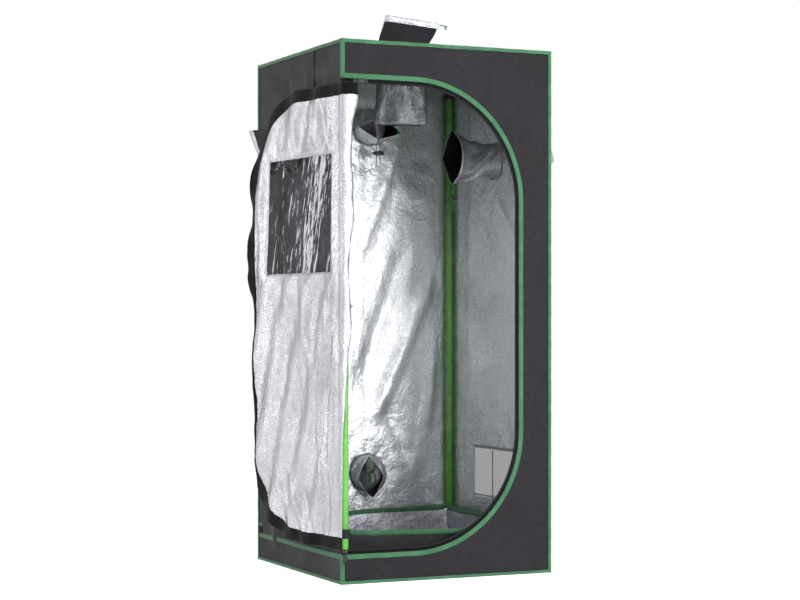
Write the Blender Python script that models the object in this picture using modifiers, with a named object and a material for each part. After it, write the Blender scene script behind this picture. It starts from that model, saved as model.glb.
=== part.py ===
"""Indoor grow tent: a sewn cover on a tube frame, with a side-hung door, duct sleeves and a floor tray.

Lengths are in metres and +Z is up. The origin is on the floor, at the centre of the footprint.
The doorway faces -Y, and the door hangs from the front left corner.
"""
from math import asin, ceil, cos, hypot, pi, radians, sin

import bmesh
import bpy
from mathutils import Matrix, Vector

# Cover
WIDTH = 0.610
DEPTH = 0.610
HEIGHT = 1.400
CLOTH = 0.001
GAP = 0.0003
OVERRUN = 0.004
WELD = 0.00002
SHARP_ANGLE = radians(40)

# Tube frame
TUBE_OD = 0.020
TUBE_WALL = 0.0010
SOCKET_WALL = 0.0020
SOCKET_LENGTH = 0.055
SOCKET_STOP = 0.0150
CORE_LIP = 0.0005
CORE_BEVEL = 0.0015
JOINT_GROOVE_WIDTH = 0.0025
JOINT_GROOVE_DEPTH = 0.0005
TUBE_SIDES = 12
CORE_HALF = TUBE_OD / 2 + GAP + SOCKET_WALL + CORE_LIP
FRAME_INSET = CLOTH + GAP + CORE_HALF
POST_X = WIDTH / 2 - FRAME_INSET
POST_Y = DEPTH / 2 - FRAME_INSET
RAIL_LOW_Z = FRAME_INSET
RAIL_HIGH_Z = HEIGHT - FRAME_INSET

# Hanging bars, which clip over the two upper side rails
BAR_OD = 0.014
BAR_Y = 0.150
BAR_CLIP_WIDTH = 0.016
BAR_CLIP_WALL = 0.0020
BAR_CLIP_WRAP = radians(25)
BAR_NECK = 0.008

# Doorway: a D whose straight side is the front left corner
DOOR_HEAD = 0.087
DOOR_SILL = 0.064
DOOR_JAMB = 0.084
DOOR_RADIUS = 0.320
BAND = 0.013
TAPE = 0.012
ARC_STEPS = 12

# Green piping on the edges of the cover
PIPING = 0.008
PIPING_PROUD = 0.0015

# Door leaf
LEAF_CLEARANCE = 0.0015
LEAF_CLOTH = 0.001
HINGE_OFFSET = 0.0012
HEM = 0.027
HEM_CLOTH = 0.0018
LEAF_REST_ANGLE = radians(97)
WINDOW_LEFT = 0.052
WINDOW_MARGIN = 0.213
WINDOW_WIDTH = WIDTH - WINDOW_LEFT - WINDOW_MARGIN
WINDOW_TALL = 0.305
WINDOW_HEAD = 0.292
WINDOW_LOW = HEIGHT - WINDOW_HEAD - WINDOW_TALL
WINDOW_FILM = 0.0006
FOLD_DEPTH = 0.013
FOLD_SPACING = 0.120
HINGE_FLAT = 0.034
HINGE_SIDES = 8
FOLD_FADE = 0.030
LEAF_COLUMNS = 16
LEAF_ROW = 0.075

# Zip sliders and their pulls
SLIDER_LONG = 0.014
SLIDER_WIDE = 0.009
SLIDER_THICK = 0.0026
SLIDER_BEVEL = 0.0010
ARCH_HOLE = 0.0028
ARCH_STRAP = 0.0008
ARCH_WIDE = 0.003
ARCH_FOOT = 0.0003
PULL_LONG = 0.031
PULL_WIDE = 0.010
PULL_THICK = 0.0014
PULL_SLOT_WIDE = 0.0052
PULL_SLOT_LONG = 0.0045
PULL_EYE = 0.0024
PULL_EYE_SIDES = 12
PULL_CORNER = 0.003
TOP_SLIDER_X = 0.040
BOTTOM_SLIDER_X = 0.0085

# Duct sleeves
PORT_RADIUS = 0.050
SLEEVE_CLOTH = 0.001
SLEEVE_COLLAR = 0.006
SLEEVE_SIDES = 20
SIDE_PORT_Y = 0.025
SIDE_PORT_HEAD = 0.270
SIDE_PORT_Z = HEIGHT - SIDE_PORT_HEAD
REAR_PORT_X = 0.040
REAR_PORT_HEAD = 0.160
REAR_HIGH_Z = HEIGHT - REAR_PORT_HEAD
REAR_LOW_X = 0.030
REAR_LOW_Z = 0.236

# Drawcords and their locks
CORD_DIAMETER = 0.0025
CORD_STEP = 0.0065
CORD_SIDES = 8
ROUTE_STEPS = 12
LOCK_LONG = 0.034
LOCK_HIGH = 0.012
LOCK_THICK = 0.009
LOCK_BEVEL = 0.002

# Side vent with its outer flap
VENT_Y = 0.000
VENT_LONG = 0.298
VENT_LOW = 0.178
VENT_TALL = 0.132
MESH_THICK = 0.0008
FLAP_MARGIN = 0.010
FLAP_CLOTH = 0.001
FLAP_ROLL = 0.0022
FLAP_DROP = 0.0025

# Lift-out floor tray
TRAY_SIDE_GAP = 0.0012
TRAY_TALL = 0.132
TRAY_CLOTH = 0.001
TRAY_CORNER = 0.012
TRAY_WAVE = 0.004
TRAY_BAND = 0.012
TRAY_BAND_CLOTH = 0.0010
STRAP_CLOTH = 0.0012
STRAP_LOW = 0.117
STRAP_TALL = 0.024
TIE_HIGH = 0.122
TIE_STEPS = 16
BEAD_SIDES = 12

# Webbing on the left wall
TIE_Y = -0.115
TIE_WIDE = 0.013
TIE_CLOTH = 0.0016
TIE_DROP = 0.118
LOOP_LOW = 0.079
LOOP_TALL = 0.015
LOOP_REACH = 0.006
LOOP_LONG = 0.022
LOOP_STEPS = 8

SCENE = bpy.context.scene
FRONT = Matrix(((1, 0, 0, 0), (0, 0, -1, 0), (0, 1, 0, 0), (0, 0, 0, 1)))
SIDE = Matrix(((0, 0, 1, 0), (1, 0, 0, 0), (0, 1, 0, 0), (0, 0, 0, 1)))
FLAT = Matrix.Identity(4)


def start_scene():
    """Remove what the scene holds and make the two collections."""
    for old in list(bpy.data.objects):
        bpy.data.objects.remove(old, do_unlink=True)
    parts = bpy.data.collections.new("grow_tent")
    cutters = bpy.data.collections.new("cutters")
    SCENE.collection.children.link(parts)
    SCENE.collection.children.link(cutters)
    return parts, cutters


PARTS, CUTTERS = start_scene()


def finish(name, colour, roughness, metallic=0.0, alpha=1.0):
    """A Principled material of one colour."""
    material = bpy.data.materials.new(name)
    material.use_nodes = True
    shader = material.node_tree.nodes["Principled BSDF"]
    shader.inputs["Base Color"].default_value = (*colour, 1.0)
    shader.inputs["Roughness"].default_value = roughness
    shader.inputs["Metallic"].default_value = metallic
    shader.inputs["Alpha"].default_value = alpha
    return material


COLOURS = {
    "black_cloth": ((0.030, 0.030, 0.034), 0.75, 0.0, 1.0),
    "silver_cloth": ((0.55, 0.56, 0.58), 0.35, 0.8, 1.0),
    "green_trim": ((0.080, 0.340, 0.150), 0.60, 0.0, 1.0),
    "green_paint": ((0.200, 0.620, 0.130), 0.35, 0.2, 1.0),
    "black_plastic": ((0.020, 0.020, 0.020), 0.45, 0.0, 1.0),
    "grey_metal": ((0.35, 0.35, 0.36), 0.35, 0.9, 1.0),
    "clear_film": ((0.80, 0.82, 0.85), 0.10, 0.0, 0.35),
    "grey_mesh": ((0.30, 0.30, 0.30), 0.80, 0.0, 1.0),
}


def add_object(name, data, look, place=FLAT):
    """Link a mesh or curve into the tent under the name of its piece."""
    piece = bpy.data.objects.new(name, data)
    PARTS.objects.link(piece)
    piece.matrix_world = place
    data.materials.append(finish(name + "_finish", *COLOURS[look]))
    return piece


def as_cutter(piece):
    """Move an object to the cutters, as a wire guide that isn't part of the tent."""
    for holder in list(piece.users_collection):
        holder.objects.unlink(piece)
    CUTTERS.objects.link(piece)
    piece.hide_render = True
    piece.display_type = "WIRE"
    return piece


def boolean(piece, tool, operation):
    """Add a Boolean modifier whose tool is kept among the cutters."""
    as_cutter(tool)
    step = piece.modifiers.new(tool.name, "BOOLEAN")
    step.operation = operation
    step.solver = "EXACT"
    step.object = tool


def cut(piece, *tools):
    for tool in tools:
        boolean(piece, tool, "DIFFERENCE")


def join(piece, *tools):
    for tool in tools:
        boolean(piece, tool, "UNION")


def block(name, low, high, look, place=FLAT, bevel=0.0):
    """A box between two corners, with rounded edges where a bevel is given."""
    mesh = bpy.data.meshes.new(name)
    shape = bmesh.new()
    bmesh.ops.create_cube(shape, size=1.0)
    size = [b - a for a, b in zip(low, high)]
    middle = [(a + b) / 2 for a, b in zip(low, high)]
    bmesh.ops.scale(shape, vec=size, verts=shape.verts)
    bmesh.ops.translate(shape, vec=middle, verts=shape.verts)
    if bevel:
        bmesh.ops.bevel(shape, geom=shape.edges, offset=bevel, segments=1, affect="EDGES", profile=0.5)
    shape.to_mesh(mesh)
    shape.free()
    return add_object(name, mesh, look, place)


def rod(name, radius, low, high, look, place=FLAT, sides=TUBE_SIDES):
    """A solid round bar along its own Z, from low to high."""
    mesh = bpy.data.meshes.new(name)
    shape = bmesh.new()
    middle = Matrix.Translation((0, 0, (low + high) / 2))
    bmesh.ops.create_cone(
        shape, cap_ends=True, segments=sides, radius1=radius, radius2=radius, depth=high - low, matrix=middle
    )
    shape.to_mesh(mesh)
    shape.free()
    mesh.shade_smooth()
    mesh.set_sharp_from_angle(angle=SHARP_ANGLE)
    return add_object(name, mesh, look, place)


def turned(name, profile, look, place=FLAT, sides=TUBE_SIDES):
    """A closed profile of (radius, height) points turned about its own Z."""
    mesh = bpy.data.meshes.new(name)
    shape = bmesh.new()
    corners = [shape.verts.new((radius, 0, height)) for radius, height in profile]
    for index, corner in enumerate(corners):
        shape.edges.new((corner, corners[(index + 1) % len(corners)]))
    shape.to_mesh(mesh)
    shape.free()
    piece = add_object(name, mesh, look, place)
    screw = piece.modifiers.new("turn", "SCREW")
    screw.steps = sides
    screw.render_steps = sides
    screw.use_merge_vertices = True
    screw.merge_threshold = WELD
    return piece


def outline_curve(name, outlines, thickness, look, place=FLAT):
    """A flat piece from closed outlines, the first its edge and the others its holes."""
    curve = bpy.data.curves.new(name, "CURVE")
    curve.dimensions = "2D"
    curve.fill_mode = "BOTH"
    curve.extrude = thickness / 2
    for outline in outlines:
        spline = curve.splines.new("POLY")
        spline.points.add(len(outline) - 1)
        for point, (x, y) in zip(spline.points, outline):
            point.co = (x, y, 0, 1)
        spline.use_cyclic_u = True
    return add_object(name, curve, look, place)


def as_mesh(piece):
    """Turn a curve object into a mesh object with welded caps, in the same place."""
    bpy.context.view_layer.update()
    graph = bpy.context.evaluated_depsgraph_get()
    mesh = bpy.data.meshes.new_from_object(piece.evaluated_get(graph))
    shape = bmesh.new()
    shape.from_mesh(mesh)
    bmesh.ops.remove_doubles(shape, verts=shape.verts, dist=WELD)
    shape.to_mesh(mesh)
    shape.free()
    name = piece.name
    place = piece.matrix_world.copy()
    curve = piece.data
    bpy.data.objects.remove(piece, do_unlink=True)
    bpy.data.curves.remove(curve)
    solid = bpy.data.objects.new(name, mesh)
    PARTS.objects.link(solid)
    solid.matrix_world = place
    return solid


def flat_solid(name, outlines, thickness, look, place=FLAT):
    return as_mesh(outline_curve(name, outlines, thickness, look, place))


def rectangle(left, low, right, high):
    return [(left, low), (right, low), (right, high), (left, high)]


def circle(x, y, radius, steps):
    return [(x + radius * cos(2 * pi * i / steps), y + radius * sin(2 * pi * i / steps)) for i in range(steps)]


def smooth_route(route, spacing):
    """Points at even steps along a smooth curve through the route's own points."""
    knots = [Vector(point) for point in route]
    knots = [2 * knots[0] - knots[1], *knots, 2 * knots[-1] - knots[-2]]
    fine = []
    for a, b, c, d in zip(knots, knots[1:], knots[2:], knots[3:]):
        for step in range(ROUTE_STEPS):
            t = step / ROUTE_STEPS
            fine.append(
                0.5 * (2 * b + (c - a) * t + (2 * a - 5 * b + 4 * c - d) * t**2 + (3 * b - a - 3 * c + d) * t**3)
            )
    fine.append(knots[-2])
    length = sum((b - a).length for a, b in zip(fine, fine[1:]))
    count = max(2, ceil(length / spacing))
    points = [fine[0]]
    travelled = 0.0
    for a, b in zip(fine, fine[1:]):
        piece = (b - a).length
        while len(points) < count and travelled + piece >= length * len(points) / count:
            share = (length * len(points) / count - travelled) / piece
            points.append(a.lerp(b, share))
        travelled += piece
    points.append(fine[-1])
    return points


def cord_tube(name, route, diameter, look):
    """A round cord along a smooth route."""
    curve = bpy.data.curves.new(name, "CURVE")
    curve.dimensions = "3D"
    curve.bevel_depth = diameter / 2
    curve.bevel_resolution = 2
    curve.use_fill_caps = True
    points = smooth_route(route, CORD_STEP)
    spline = curve.splines.new("POLY")
    spline.points.add(len(points) - 1)
    for knot, point in zip(spline.points, points):
        knot.co = (*point, 1)
    return add_object(name, curve, look)


def loft(name, rings, thickness, look, wrap=True, cap_first=False):
    """A cloth skin through rings of points, thickened to the side away from its normals."""
    mesh = bpy.data.meshes.new(name)
    shape = bmesh.new()
    rows = [[shape.verts.new(point) for point in ring] for ring in rings]
    count = len(rows[0])
    spans = count if wrap else count - 1
    for low, high in zip(rows, rows[1:]):
        for i in range(spans):
            j = (i + 1) % count
            shape.faces.new((low[i], low[j], high[j], high[i]))
    if cap_first:
        shape.faces.new(list(reversed(rows[0])))
    shape.to_mesh(mesh)
    shape.free()
    mesh.shade_smooth()
    piece = add_object(name, mesh, look)
    skin = piece.modifiers.new("thickness", "SOLIDIFY")
    skin.thickness = thickness
    skin.offset = -1
    return piece


def along(axis, origin):
    """A frame at a point whose own Z runs along an axis."""
    turn = Vector((0, 0, 1)).rotation_difference(Vector(axis)).to_matrix().to_4x4()
    return Matrix.Translation(origin) @ turn


def frame_tube(name, start, end, grooves=()):
    """A painted tube between two points, with a groove where its two lengths meet."""
    start = Vector(start)
    end = Vector(end)
    length = (end - start).length
    outer = TUBE_OD / 2
    inner = outer - TUBE_WALL
    rim = [(outer, length)]
    for share in grooves:
        middle = share * length
        rim.append((outer, middle + JOINT_GROOVE_WIDTH / 2))
        rim.append((outer - JOINT_GROOVE_DEPTH, middle + JOINT_GROOVE_WIDTH / 2))
        rim.append((outer - JOINT_GROOVE_DEPTH, middle - JOINT_GROOVE_WIDTH / 2))
        rim.append((outer, middle - JOINT_GROOVE_WIDTH / 2))
    profile = [*rim, (outer, 0), (inner, 0), (inner, length)]
    return turned(name, profile, "green_paint", along(end - start, start))


def corner_joint(name, corner, inward):
    """A three-way plastic corner whose sockets take a post and two rails."""
    corner = Vector(corner)
    core = (CORE_HALF, CORE_HALF, CORE_HALF)
    low = [a - b for a, b in zip(corner, core)]
    high = [a + b for a, b in zip(corner, core)]
    joint = block(name, low, high, "black_plastic", bevel=CORE_BEVEL)
    bore = TUBE_OD / 2 + GAP
    sockets = []
    bores = []
    for index, sign in enumerate(inward):
        axis = [0, 0, 0]
        axis[index] = sign
        place = along(axis, corner)
        sockets.append(rod(f"{name}_socket_{index}", bore + SOCKET_WALL, 0, SOCKET_LENGTH, "black_plastic", place))
        bores.append(
            rod(f"{name}_bore_{index}", bore, SOCKET_STOP, SOCKET_LENGTH + OVERRUN, "black_plastic", place)
        )
    join(joint, *sockets)
    cut(joint, *bores)
    return joint


SIDES = {"left": -1, "right": 1}
ENDS = {"front": -1, "rear": 1}
POST_SPLIT_SHARES = (0.5,)


def make_frame():
    """Four posts and eight rails that plug into eight corners."""
    reach = SOCKET_STOP + GAP
    for end, back in ENDS.items():
        for side, right in SIDES.items():
            x = right * POST_X
            y = back * POST_Y
            frame_tube(
                f"post_{end}_{side}", (x, y, RAIL_LOW_Z + reach), (x, y, RAIL_HIGH_Z - reach), POST_SPLIT_SHARES
            )
            corner_joint(f"corner_bottom_{end}_{side}", (x, y, RAIL_LOW_Z), (-right, -back, 1))
            corner_joint(f"corner_top_{end}_{side}", (x, y, RAIL_HIGH_Z), (-right, -back, -1))
    for level, z in (("bottom", RAIL_LOW_Z), ("top", RAIL_HIGH_Z)):
        for end, back in ENDS.items():
            y = back * POST_Y
            frame_tube(f"rail_{level}_{end}", (-POST_X + reach, y, z), (POST_X - reach, y, z))
        for side, right in SIDES.items():
            x = right * POST_X
            frame_tube(f"rail_{level}_{side}", (x, -POST_Y + reach, z), (x, POST_Y - reach, z))


def clip_outline():
    """A hook over a rail at the origin, with a neck towards +X that holds the hanging bar."""
    inner = TUBE_OD / 2 + GAP
    outer = inner + BAR_CLIP_WALL
    neck_half = BAR_OD / 2 - CORE_LIP
    start = -asin(neck_half / outer)
    end = pi + BAR_CLIP_WRAP
    points = [(outer + BAR_NECK, neck_half), (outer + BAR_NECK, -neck_half)]
    inside = []
    low_corner = (outer * cos(start), outer * sin(start))
    points.append(low_corner)
    for step in range(ARC_STEPS + 1):
        angle = start + (end - start) * step / ARC_STEPS
        inside.append((inner * cos(angle), inner * sin(angle)))
    points.extend(inside)
    for step in range(ARC_STEPS + 1):
        angle = end + (-start - end) * step / ARC_STEPS
        points.append((outer * cos(angle), outer * sin(angle)))
    return points


def make_hanging_bars():
    """Two bars across the top, hooked over the side rails, that slide to and fro."""
    for end, back in ENDS.items():
        y = back * BAR_Y
        half = POST_X - TUBE_OD / 2 - GAP - BAR_CLIP_WALL - BAR_NECK / 2
        bar = rod(
            f"hanging_bar_{end}", BAR_OD / 2, -half, half, "green_paint",
            along((1, 0, 0), (0, y, RAIL_HIGH_Z)),
        )
        left = flat_solid(
            f"hanging_bar_{end}_left_clip", [clip_outline()], BAR_CLIP_WIDTH, "black_plastic",
            Matrix.Translation((-POST_X, y, RAIL_HIGH_Z)) @ FRONT,
        )
        right = flat_solid(
            f"hanging_bar_{end}_right_clip", [clip_outline()], BAR_CLIP_WIDTH, "black_plastic",
            Matrix.Translation((POST_X, y, RAIL_HIGH_Z)) @ Matrix.Rotation(pi, 4, "Z") @ FRONT,
        )
        join(bar, left, right)


def doorway(inset):
    """The free side of the D, from the end of its sill to the end of its head, inside the binding's edge."""
    right = WIDTH / 2 - DOOR_JAMB - inset
    low = DOOR_SILL + inset
    high = HEIGHT - DOOR_HEAD - inset
    radius = DOOR_RADIUS - inset
    angles = [pi / 2 * step / ARC_STEPS for step in range(ARC_STEPS + 1)]
    lower = [(right - radius + radius * sin(a), low + radius - radius * cos(a)) for a in angles]
    upper = [(right - radius + radius * cos(a), high - radius + radius * sin(a)) for a in angles]
    return lower + upper


SEAM = CLOTH + GAP
WALL_LOW = SEAM
WALL_HIGH = HEIGHT - SEAM
PORT_HOLE = PORT_RADIUS + GAP
VENT_EDGES = rectangle(VENT_Y - VENT_LONG / 2, VENT_LOW, VENT_Y + VENT_LONG / 2, VENT_LOW + VENT_TALL)


def make_cover():
    """The six cloth panels, which meet at the edges of the tent."""
    opening = doorway(BAND)
    left = -WIDTH / 2
    right = WIDTH / 2
    front = [(left, WALL_LOW), (right, WALL_LOW), (right, WALL_HIGH), (left, WALL_HIGH)]
    front += [(left, opening[-1][1]), *reversed(opening), (left, opening[0][1])]
    outline_curve(
        "panel_front", [front], CLOTH, "black_cloth", Matrix.Translation((0, -DEPTH / 2 + CLOTH / 2, 0)) @ FRONT
    )
    rear_holes = [
        circle(REAR_PORT_X, REAR_HIGH_Z, PORT_HOLE, SLEEVE_SIDES),
        circle(REAR_LOW_X, REAR_LOW_Z, PORT_HOLE, SLEEVE_SIDES),
    ]
    outline_curve(
        "panel_rear", [rectangle(left, WALL_LOW, right, WALL_HIGH), *rear_holes], CLOTH, "black_cloth",
        Matrix.Translation((0, DEPTH / 2 - CLOTH / 2, 0)) @ FRONT,
    )
    near = -DEPTH / 2 + SEAM
    far = DEPTH / 2 - SEAM
    port = circle(SIDE_PORT_Y, SIDE_PORT_Z, PORT_HOLE, SLEEVE_SIDES)
    outline_curve(
        "panel_right", [rectangle(near, WALL_LOW, far, WALL_HIGH), port, VENT_EDGES], CLOTH, "black_cloth",
        Matrix.Translation((WIDTH / 2 - CLOTH / 2, 0, 0)) @ SIDE,
    )
    tab_low = DOOR_SILL + BAND + TAPE + GAP
    tab_high = HEIGHT - DOOR_HEAD - BAND - TAPE - GAP
    side = [(near, WALL_LOW), (far, WALL_LOW), (far, WALL_HIGH), (near, WALL_HIGH)]
    side += [(near, tab_high), (-DEPTH / 2, tab_high), (-DEPTH / 2, tab_low), (near, tab_low)]
    outline_curve(
        "panel_left", [side, port], CLOTH, "black_cloth", Matrix.Translation((-WIDTH / 2 + CLOTH / 2, 0, 0)) @ SIDE
    )
    outline_curve(
        "panel_roof", [rectangle(left, -DEPTH / 2, right, DEPTH / 2), circle(0, 0, PORT_HOLE, SLEEVE_SIDES)],
        CLOTH, "black_cloth", Matrix.Translation((0, 0, HEIGHT - CLOTH / 2)),
    )
    outline_curve(
        "panel_floor", [rectangle(left, -DEPTH / 2, right, DEPTH / 2)], CLOTH, "black_cloth",
        Matrix.Translation((0, 0, CLOTH / 2)),
    )


def make_binding():
    """One green trim: piping on the cover's edges, the band round the doorway and its run on the left wall."""
    proud = PIPING_PROUD
    outer_x = WIDTH / 2 + proud
    outer_y = DEPTH / 2 + proud
    trim = block("green_binding", (-outer_x, -outer_y, 0), (outer_x, outer_y, HEIGHT + proud), "green_trim")
    inner_x = WIDTH / 2 + GAP
    inner_y = DEPTH / 2 + GAP
    core = block("binding_core", (-inner_x, -inner_y, -OVERRUN), (inner_x, inner_y, HEIGHT + GAP), "green_trim")
    leg_x = WIDTH / 2 - PIPING
    leg_y = DEPTH / 2 - PIPING
    leg_high = HEIGHT - PIPING
    slab = 2 * (proud + OVERRUN)
    edge = doorway(0)
    around = [(-leg_x, edge[0][1]), *edge, (-leg_x, edge[-1][1]), (-leg_x, leg_high), (leg_x, leg_high)]
    around += [(leg_x, PIPING), (-leg_x, PIPING)]
    front_window = flat_solid(
        "binding_front_window", [around], slab, "green_trim", Matrix.Translation((0, -DEPTH / 2, 0)) @ FRONT
    )
    inside = doorway(BAND)
    past = -outer_x - OVERRUN
    notch = [(past, inside[0][1]), *inside, (past, inside[-1][1])]
    door_window = flat_solid(
        "binding_door_window", [notch], slab, "green_trim", Matrix.Translation((0, -DEPTH / 2, 0)) @ FRONT
    )
    back_window = flat_solid(
        "binding_rear_window", [rectangle(-leg_x, PIPING, leg_x, leg_high)], slab, "green_trim",
        Matrix.Translation((0, DEPTH / 2, 0)) @ FRONT,
    )
    right_window = flat_solid(
        "binding_right_window", [rectangle(-leg_y, PIPING, leg_y, leg_high)], slab, "green_trim",
        Matrix.Translation((WIDTH / 2, 0, 0)) @ SIDE,
    )
    lower = rectangle(-leg_y, PIPING, leg_y, DOOR_SILL)
    sill_top = inside[0][1]
    head_low = inside[-1][1]
    near = -outer_y - OVERRUN
    upper = [(near, sill_top), (leg_y, sill_top), (leg_y, leg_high), (-leg_y, leg_high), (-leg_y, head_low)]
    upper += [(near, head_low)]
    left_place = Matrix.Translation((-WIDTH / 2, 0, 0)) @ SIDE
    left_lower = flat_solid("binding_left_low_window", [lower], slab, "green_trim", left_place)
    left_upper = flat_solid("binding_left_high_window", [upper], slab, "green_trim", left_place)
    roof_window = flat_solid(
        "binding_roof_window", [rectangle(-leg_x, -leg_y, leg_x, leg_y)], slab, "green_trim",
        Matrix.Translation((0, 0, HEIGHT)),
    )
    cut(trim, core, front_window, door_window, back_window, right_window, left_lower, left_upper, roof_window)


def make_zip_tape():
    """The cover's half of the zip, along the edge of the doorway."""
    outside = doorway(BAND + GAP)
    inside = doorway(BAND + TAPE)
    left = -WIDTH / 2
    band = [(left, outside[0][1]), *outside, (left, outside[-1][1])]
    band += [(left, inside[-1][1]), *reversed(inside), (left, inside[0][1])]
    outline_curve(
        "zip_tape", [band], CLOTH, "black_cloth", Matrix.Translation((0, -DEPTH / 2 + CLOTH / 2, 0)) @ FRONT
    )


HINGE_X = -WIDTH / 2 - HINGE_OFFSET
HINGE_Y = -DEPTH / 2 - HINGE_OFFSET
LEAF = Matrix.Translation((HINGE_X, HINGE_Y, 0)) @ Matrix.Rotation(LEAF_REST_ANGLE, 4, "Z")


def ramp(distance, length):
    """0 to 1 over a length, with a smooth start and end."""
    share = min(max(distance / length, 0), 1)
    return share * share * (3 - 2 * share)


FOLD_LEAN_SHARE = 0.35
FOLD_SECOND_SHARE = 0.40


def fold(u, v):
    """How far the door's cloth stands off its flat plane, towards its silver face."""
    window_right = WINDOW_LEFT + WINDOW_WIDTH
    window_high = WINDOW_LOW + WINDOW_TALL
    beside = max(WINDOW_LEFT - u, u - window_right, 0)
    above = max(WINDOW_LOW - v, v - window_high, 0)
    free = ramp(hypot(beside, above), FOLD_FADE) * ramp(u - HINGE_FLAT, FOLD_FADE)
    wave = sin(2 * pi * (u + FOLD_LEAN_SHARE * (v - WINDOW_LOW)) / FOLD_SPACING)
    cross = sin(2 * pi * (v + u) / (2 * FOLD_SPACING))
    return FOLD_DEPTH * free * (1 + wave + FOLD_SECOND_SHARE * (cross - 1)) / 2


def leaf_edge(inset):
    """The free edge of the door, from the foot of its hinge to the head, inside the doorway's zip."""
    points = [(x - HINGE_X, z) for x, z in doorway(BAND + TAPE + LEAF_CLEARANCE + inset)]
    lower = points[: ARC_STEPS + 1]
    upper = points[ARC_STEPS + 1 :]
    runs = ceil((upper[0][1] - lower[-1][1]) / LEAF_ROW)
    rise = (upper[0][1] - lower[-1][1]) / runs
    middle = [(lower[-1][0], lower[-1][1] + rise * step) for step in range(1, runs)]
    return lower, middle, upper


def make_door():
    """The door leaf of silvered cloth with its window and hem, hung open on the front left corner."""
    lower, middle, upper = leaf_edge(HEM + GAP)
    rings = []
    for reach, v in [*lower, *middle, *upper]:
        columns = [reach * step / LEAF_COLUMNS for step in range(LEAF_COLUMNS + 1)]
        rings.append([(u, fold(u, v), v) for u in columns])
    leaf = loft("door_panel", rings, LEAF_CLOTH, "silver_cloth", wrap=False)
    leaf.matrix_world = LEAF
    leaf.modifiers["thickness"].offset = 0
    roll = rod(
        "door_hinge_roll", HINGE_OFFSET, lower[0][1] + LEAF_CLOTH, upper[-1][1] - LEAF_CLOTH, "black_cloth", LEAF, HINGE_SIDES
    )
    hole = rectangle(
        WINDOW_LEFT - GAP, WINDOW_LOW - GAP, WINDOW_LEFT + WINDOW_WIDTH + GAP, WINDOW_LOW + WINDOW_TALL + GAP
    )
    frame_place = LEAF @ FRONT
    opening = flat_solid("door_window_opening", [hole], FOLD_DEPTH * 2, "black_cloth", frame_place)
    join(leaf, roll)
    cut(leaf, opening)
    film = rectangle(WINDOW_LEFT, WINDOW_LOW, WINDOW_LEFT + WINDOW_WIDTH, WINDOW_LOW + WINDOW_TALL)
    outline_curve("door_window", [film], WINDOW_FILM, "clear_film", frame_place)
    rims = []
    for inset in (HEM, HEM / 2, 0):
        low_arc, run, high_arc = leaf_edge(inset)
        corner = low_arc[0][0]
        pieces = ceil(corner / LEAF_ROW)
        start = HINGE_OFFSET + GAP
        straight = [start + (corner - start) * step / pieces for step in range(pieces)]
        foot = [(u, low_arc[0][1]) for u in straight]
        head = [(u, high_arc[-1][1]) for u in reversed(straight)]
        edge = [*foot, *low_arc, *run, *high_arc, *head]
        rims.append([(u, fold(u, v), v) for u, v in edge])
    hem = loft("door_hem", rims, HEM_CLOTH, "black_cloth", wrap=False)
    hem.matrix_world = LEAF
    hem.modifiers["thickness"].offset = 0


PIVOT_HIGH = SLIDER_THICK + ARCH_FOOT + ARCH_HOLE / 2
TRACK_INSET = BAND + TAPE / 2


def make_zip_slider(level, x, z, turn):
    """A slider on the zip tape, with an arch on its face and a pull whose crossbar turns in the arch."""
    base = Matrix.Translation((x, -DEPTH / 2 - GAP, z)) @ FRONT
    half_long = SLIDER_LONG / 2
    half_wide = SLIDER_WIDE / 2
    slider = block(
        f"zip_slider_{level}", (-half_long, -half_wide, 0), (half_long, half_wide, SLIDER_THICK), "black_plastic",
        base, SLIDER_BEVEL,
    )
    turned_base = base @ Matrix.Rotation(turn, 4, "Z")
    arch_half = ARCH_HOLE / 2 + ARCH_STRAP
    arch_low = SLIDER_THICK - SLIDER_BEVEL
    hole_low = SLIDER_THICK + ARCH_FOOT
    arch = block(
        f"zip_arch_{level}", (-ARCH_WIDE / 2, -arch_half, arch_low),
        (ARCH_WIDE / 2, arch_half, hole_low + ARCH_HOLE + ARCH_STRAP), "black_plastic", turned_base,
    )
    hole = block(
        f"zip_arch_hole_{level}", (-ARCH_WIDE, -ARCH_HOLE / 2, hole_low),
        (ARCH_WIDE, ARCH_HOLE / 2, hole_low + ARCH_HOLE), "black_plastic", turned_base,
    )
    join(slider, arch)
    cut(slider, hole)
    bar = PULL_THICK / 2
    end = bar - PULL_LONG
    side = PULL_WIDE / 2
    outline = [(-side, bar), (-side, end + PULL_CORNER), (-side + PULL_CORNER, end), (side - PULL_CORNER, end)]
    outline += [(side, end + PULL_CORNER), (side, bar)]
    slot = rectangle(-PULL_SLOT_WIDE / 2, -bar - PULL_SLOT_LONG, PULL_SLOT_WIDE / 2, -bar)
    eye = circle(0, end + PULL_WIDE / 2, PULL_EYE, PULL_EYE_SIDES)
    outline_curve(
        f"zip_pull_{level}", [outline, slot, eye], PULL_THICK, "grey_metal",
        turned_base @ Matrix.Translation((0, 0, PIVOT_HIGH)),
    )


def make_zip_sliders():
    make_zip_slider("top", -WIDTH / 2 + TOP_SLIDER_X, HEIGHT - DOOR_HEAD - TRACK_INSET, pi / 2)
    make_zip_slider("bottom", -WIDTH / 2 + BOTTOM_SLIDER_X, DOOR_SILL + TRACK_INSET, 0)


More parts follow.
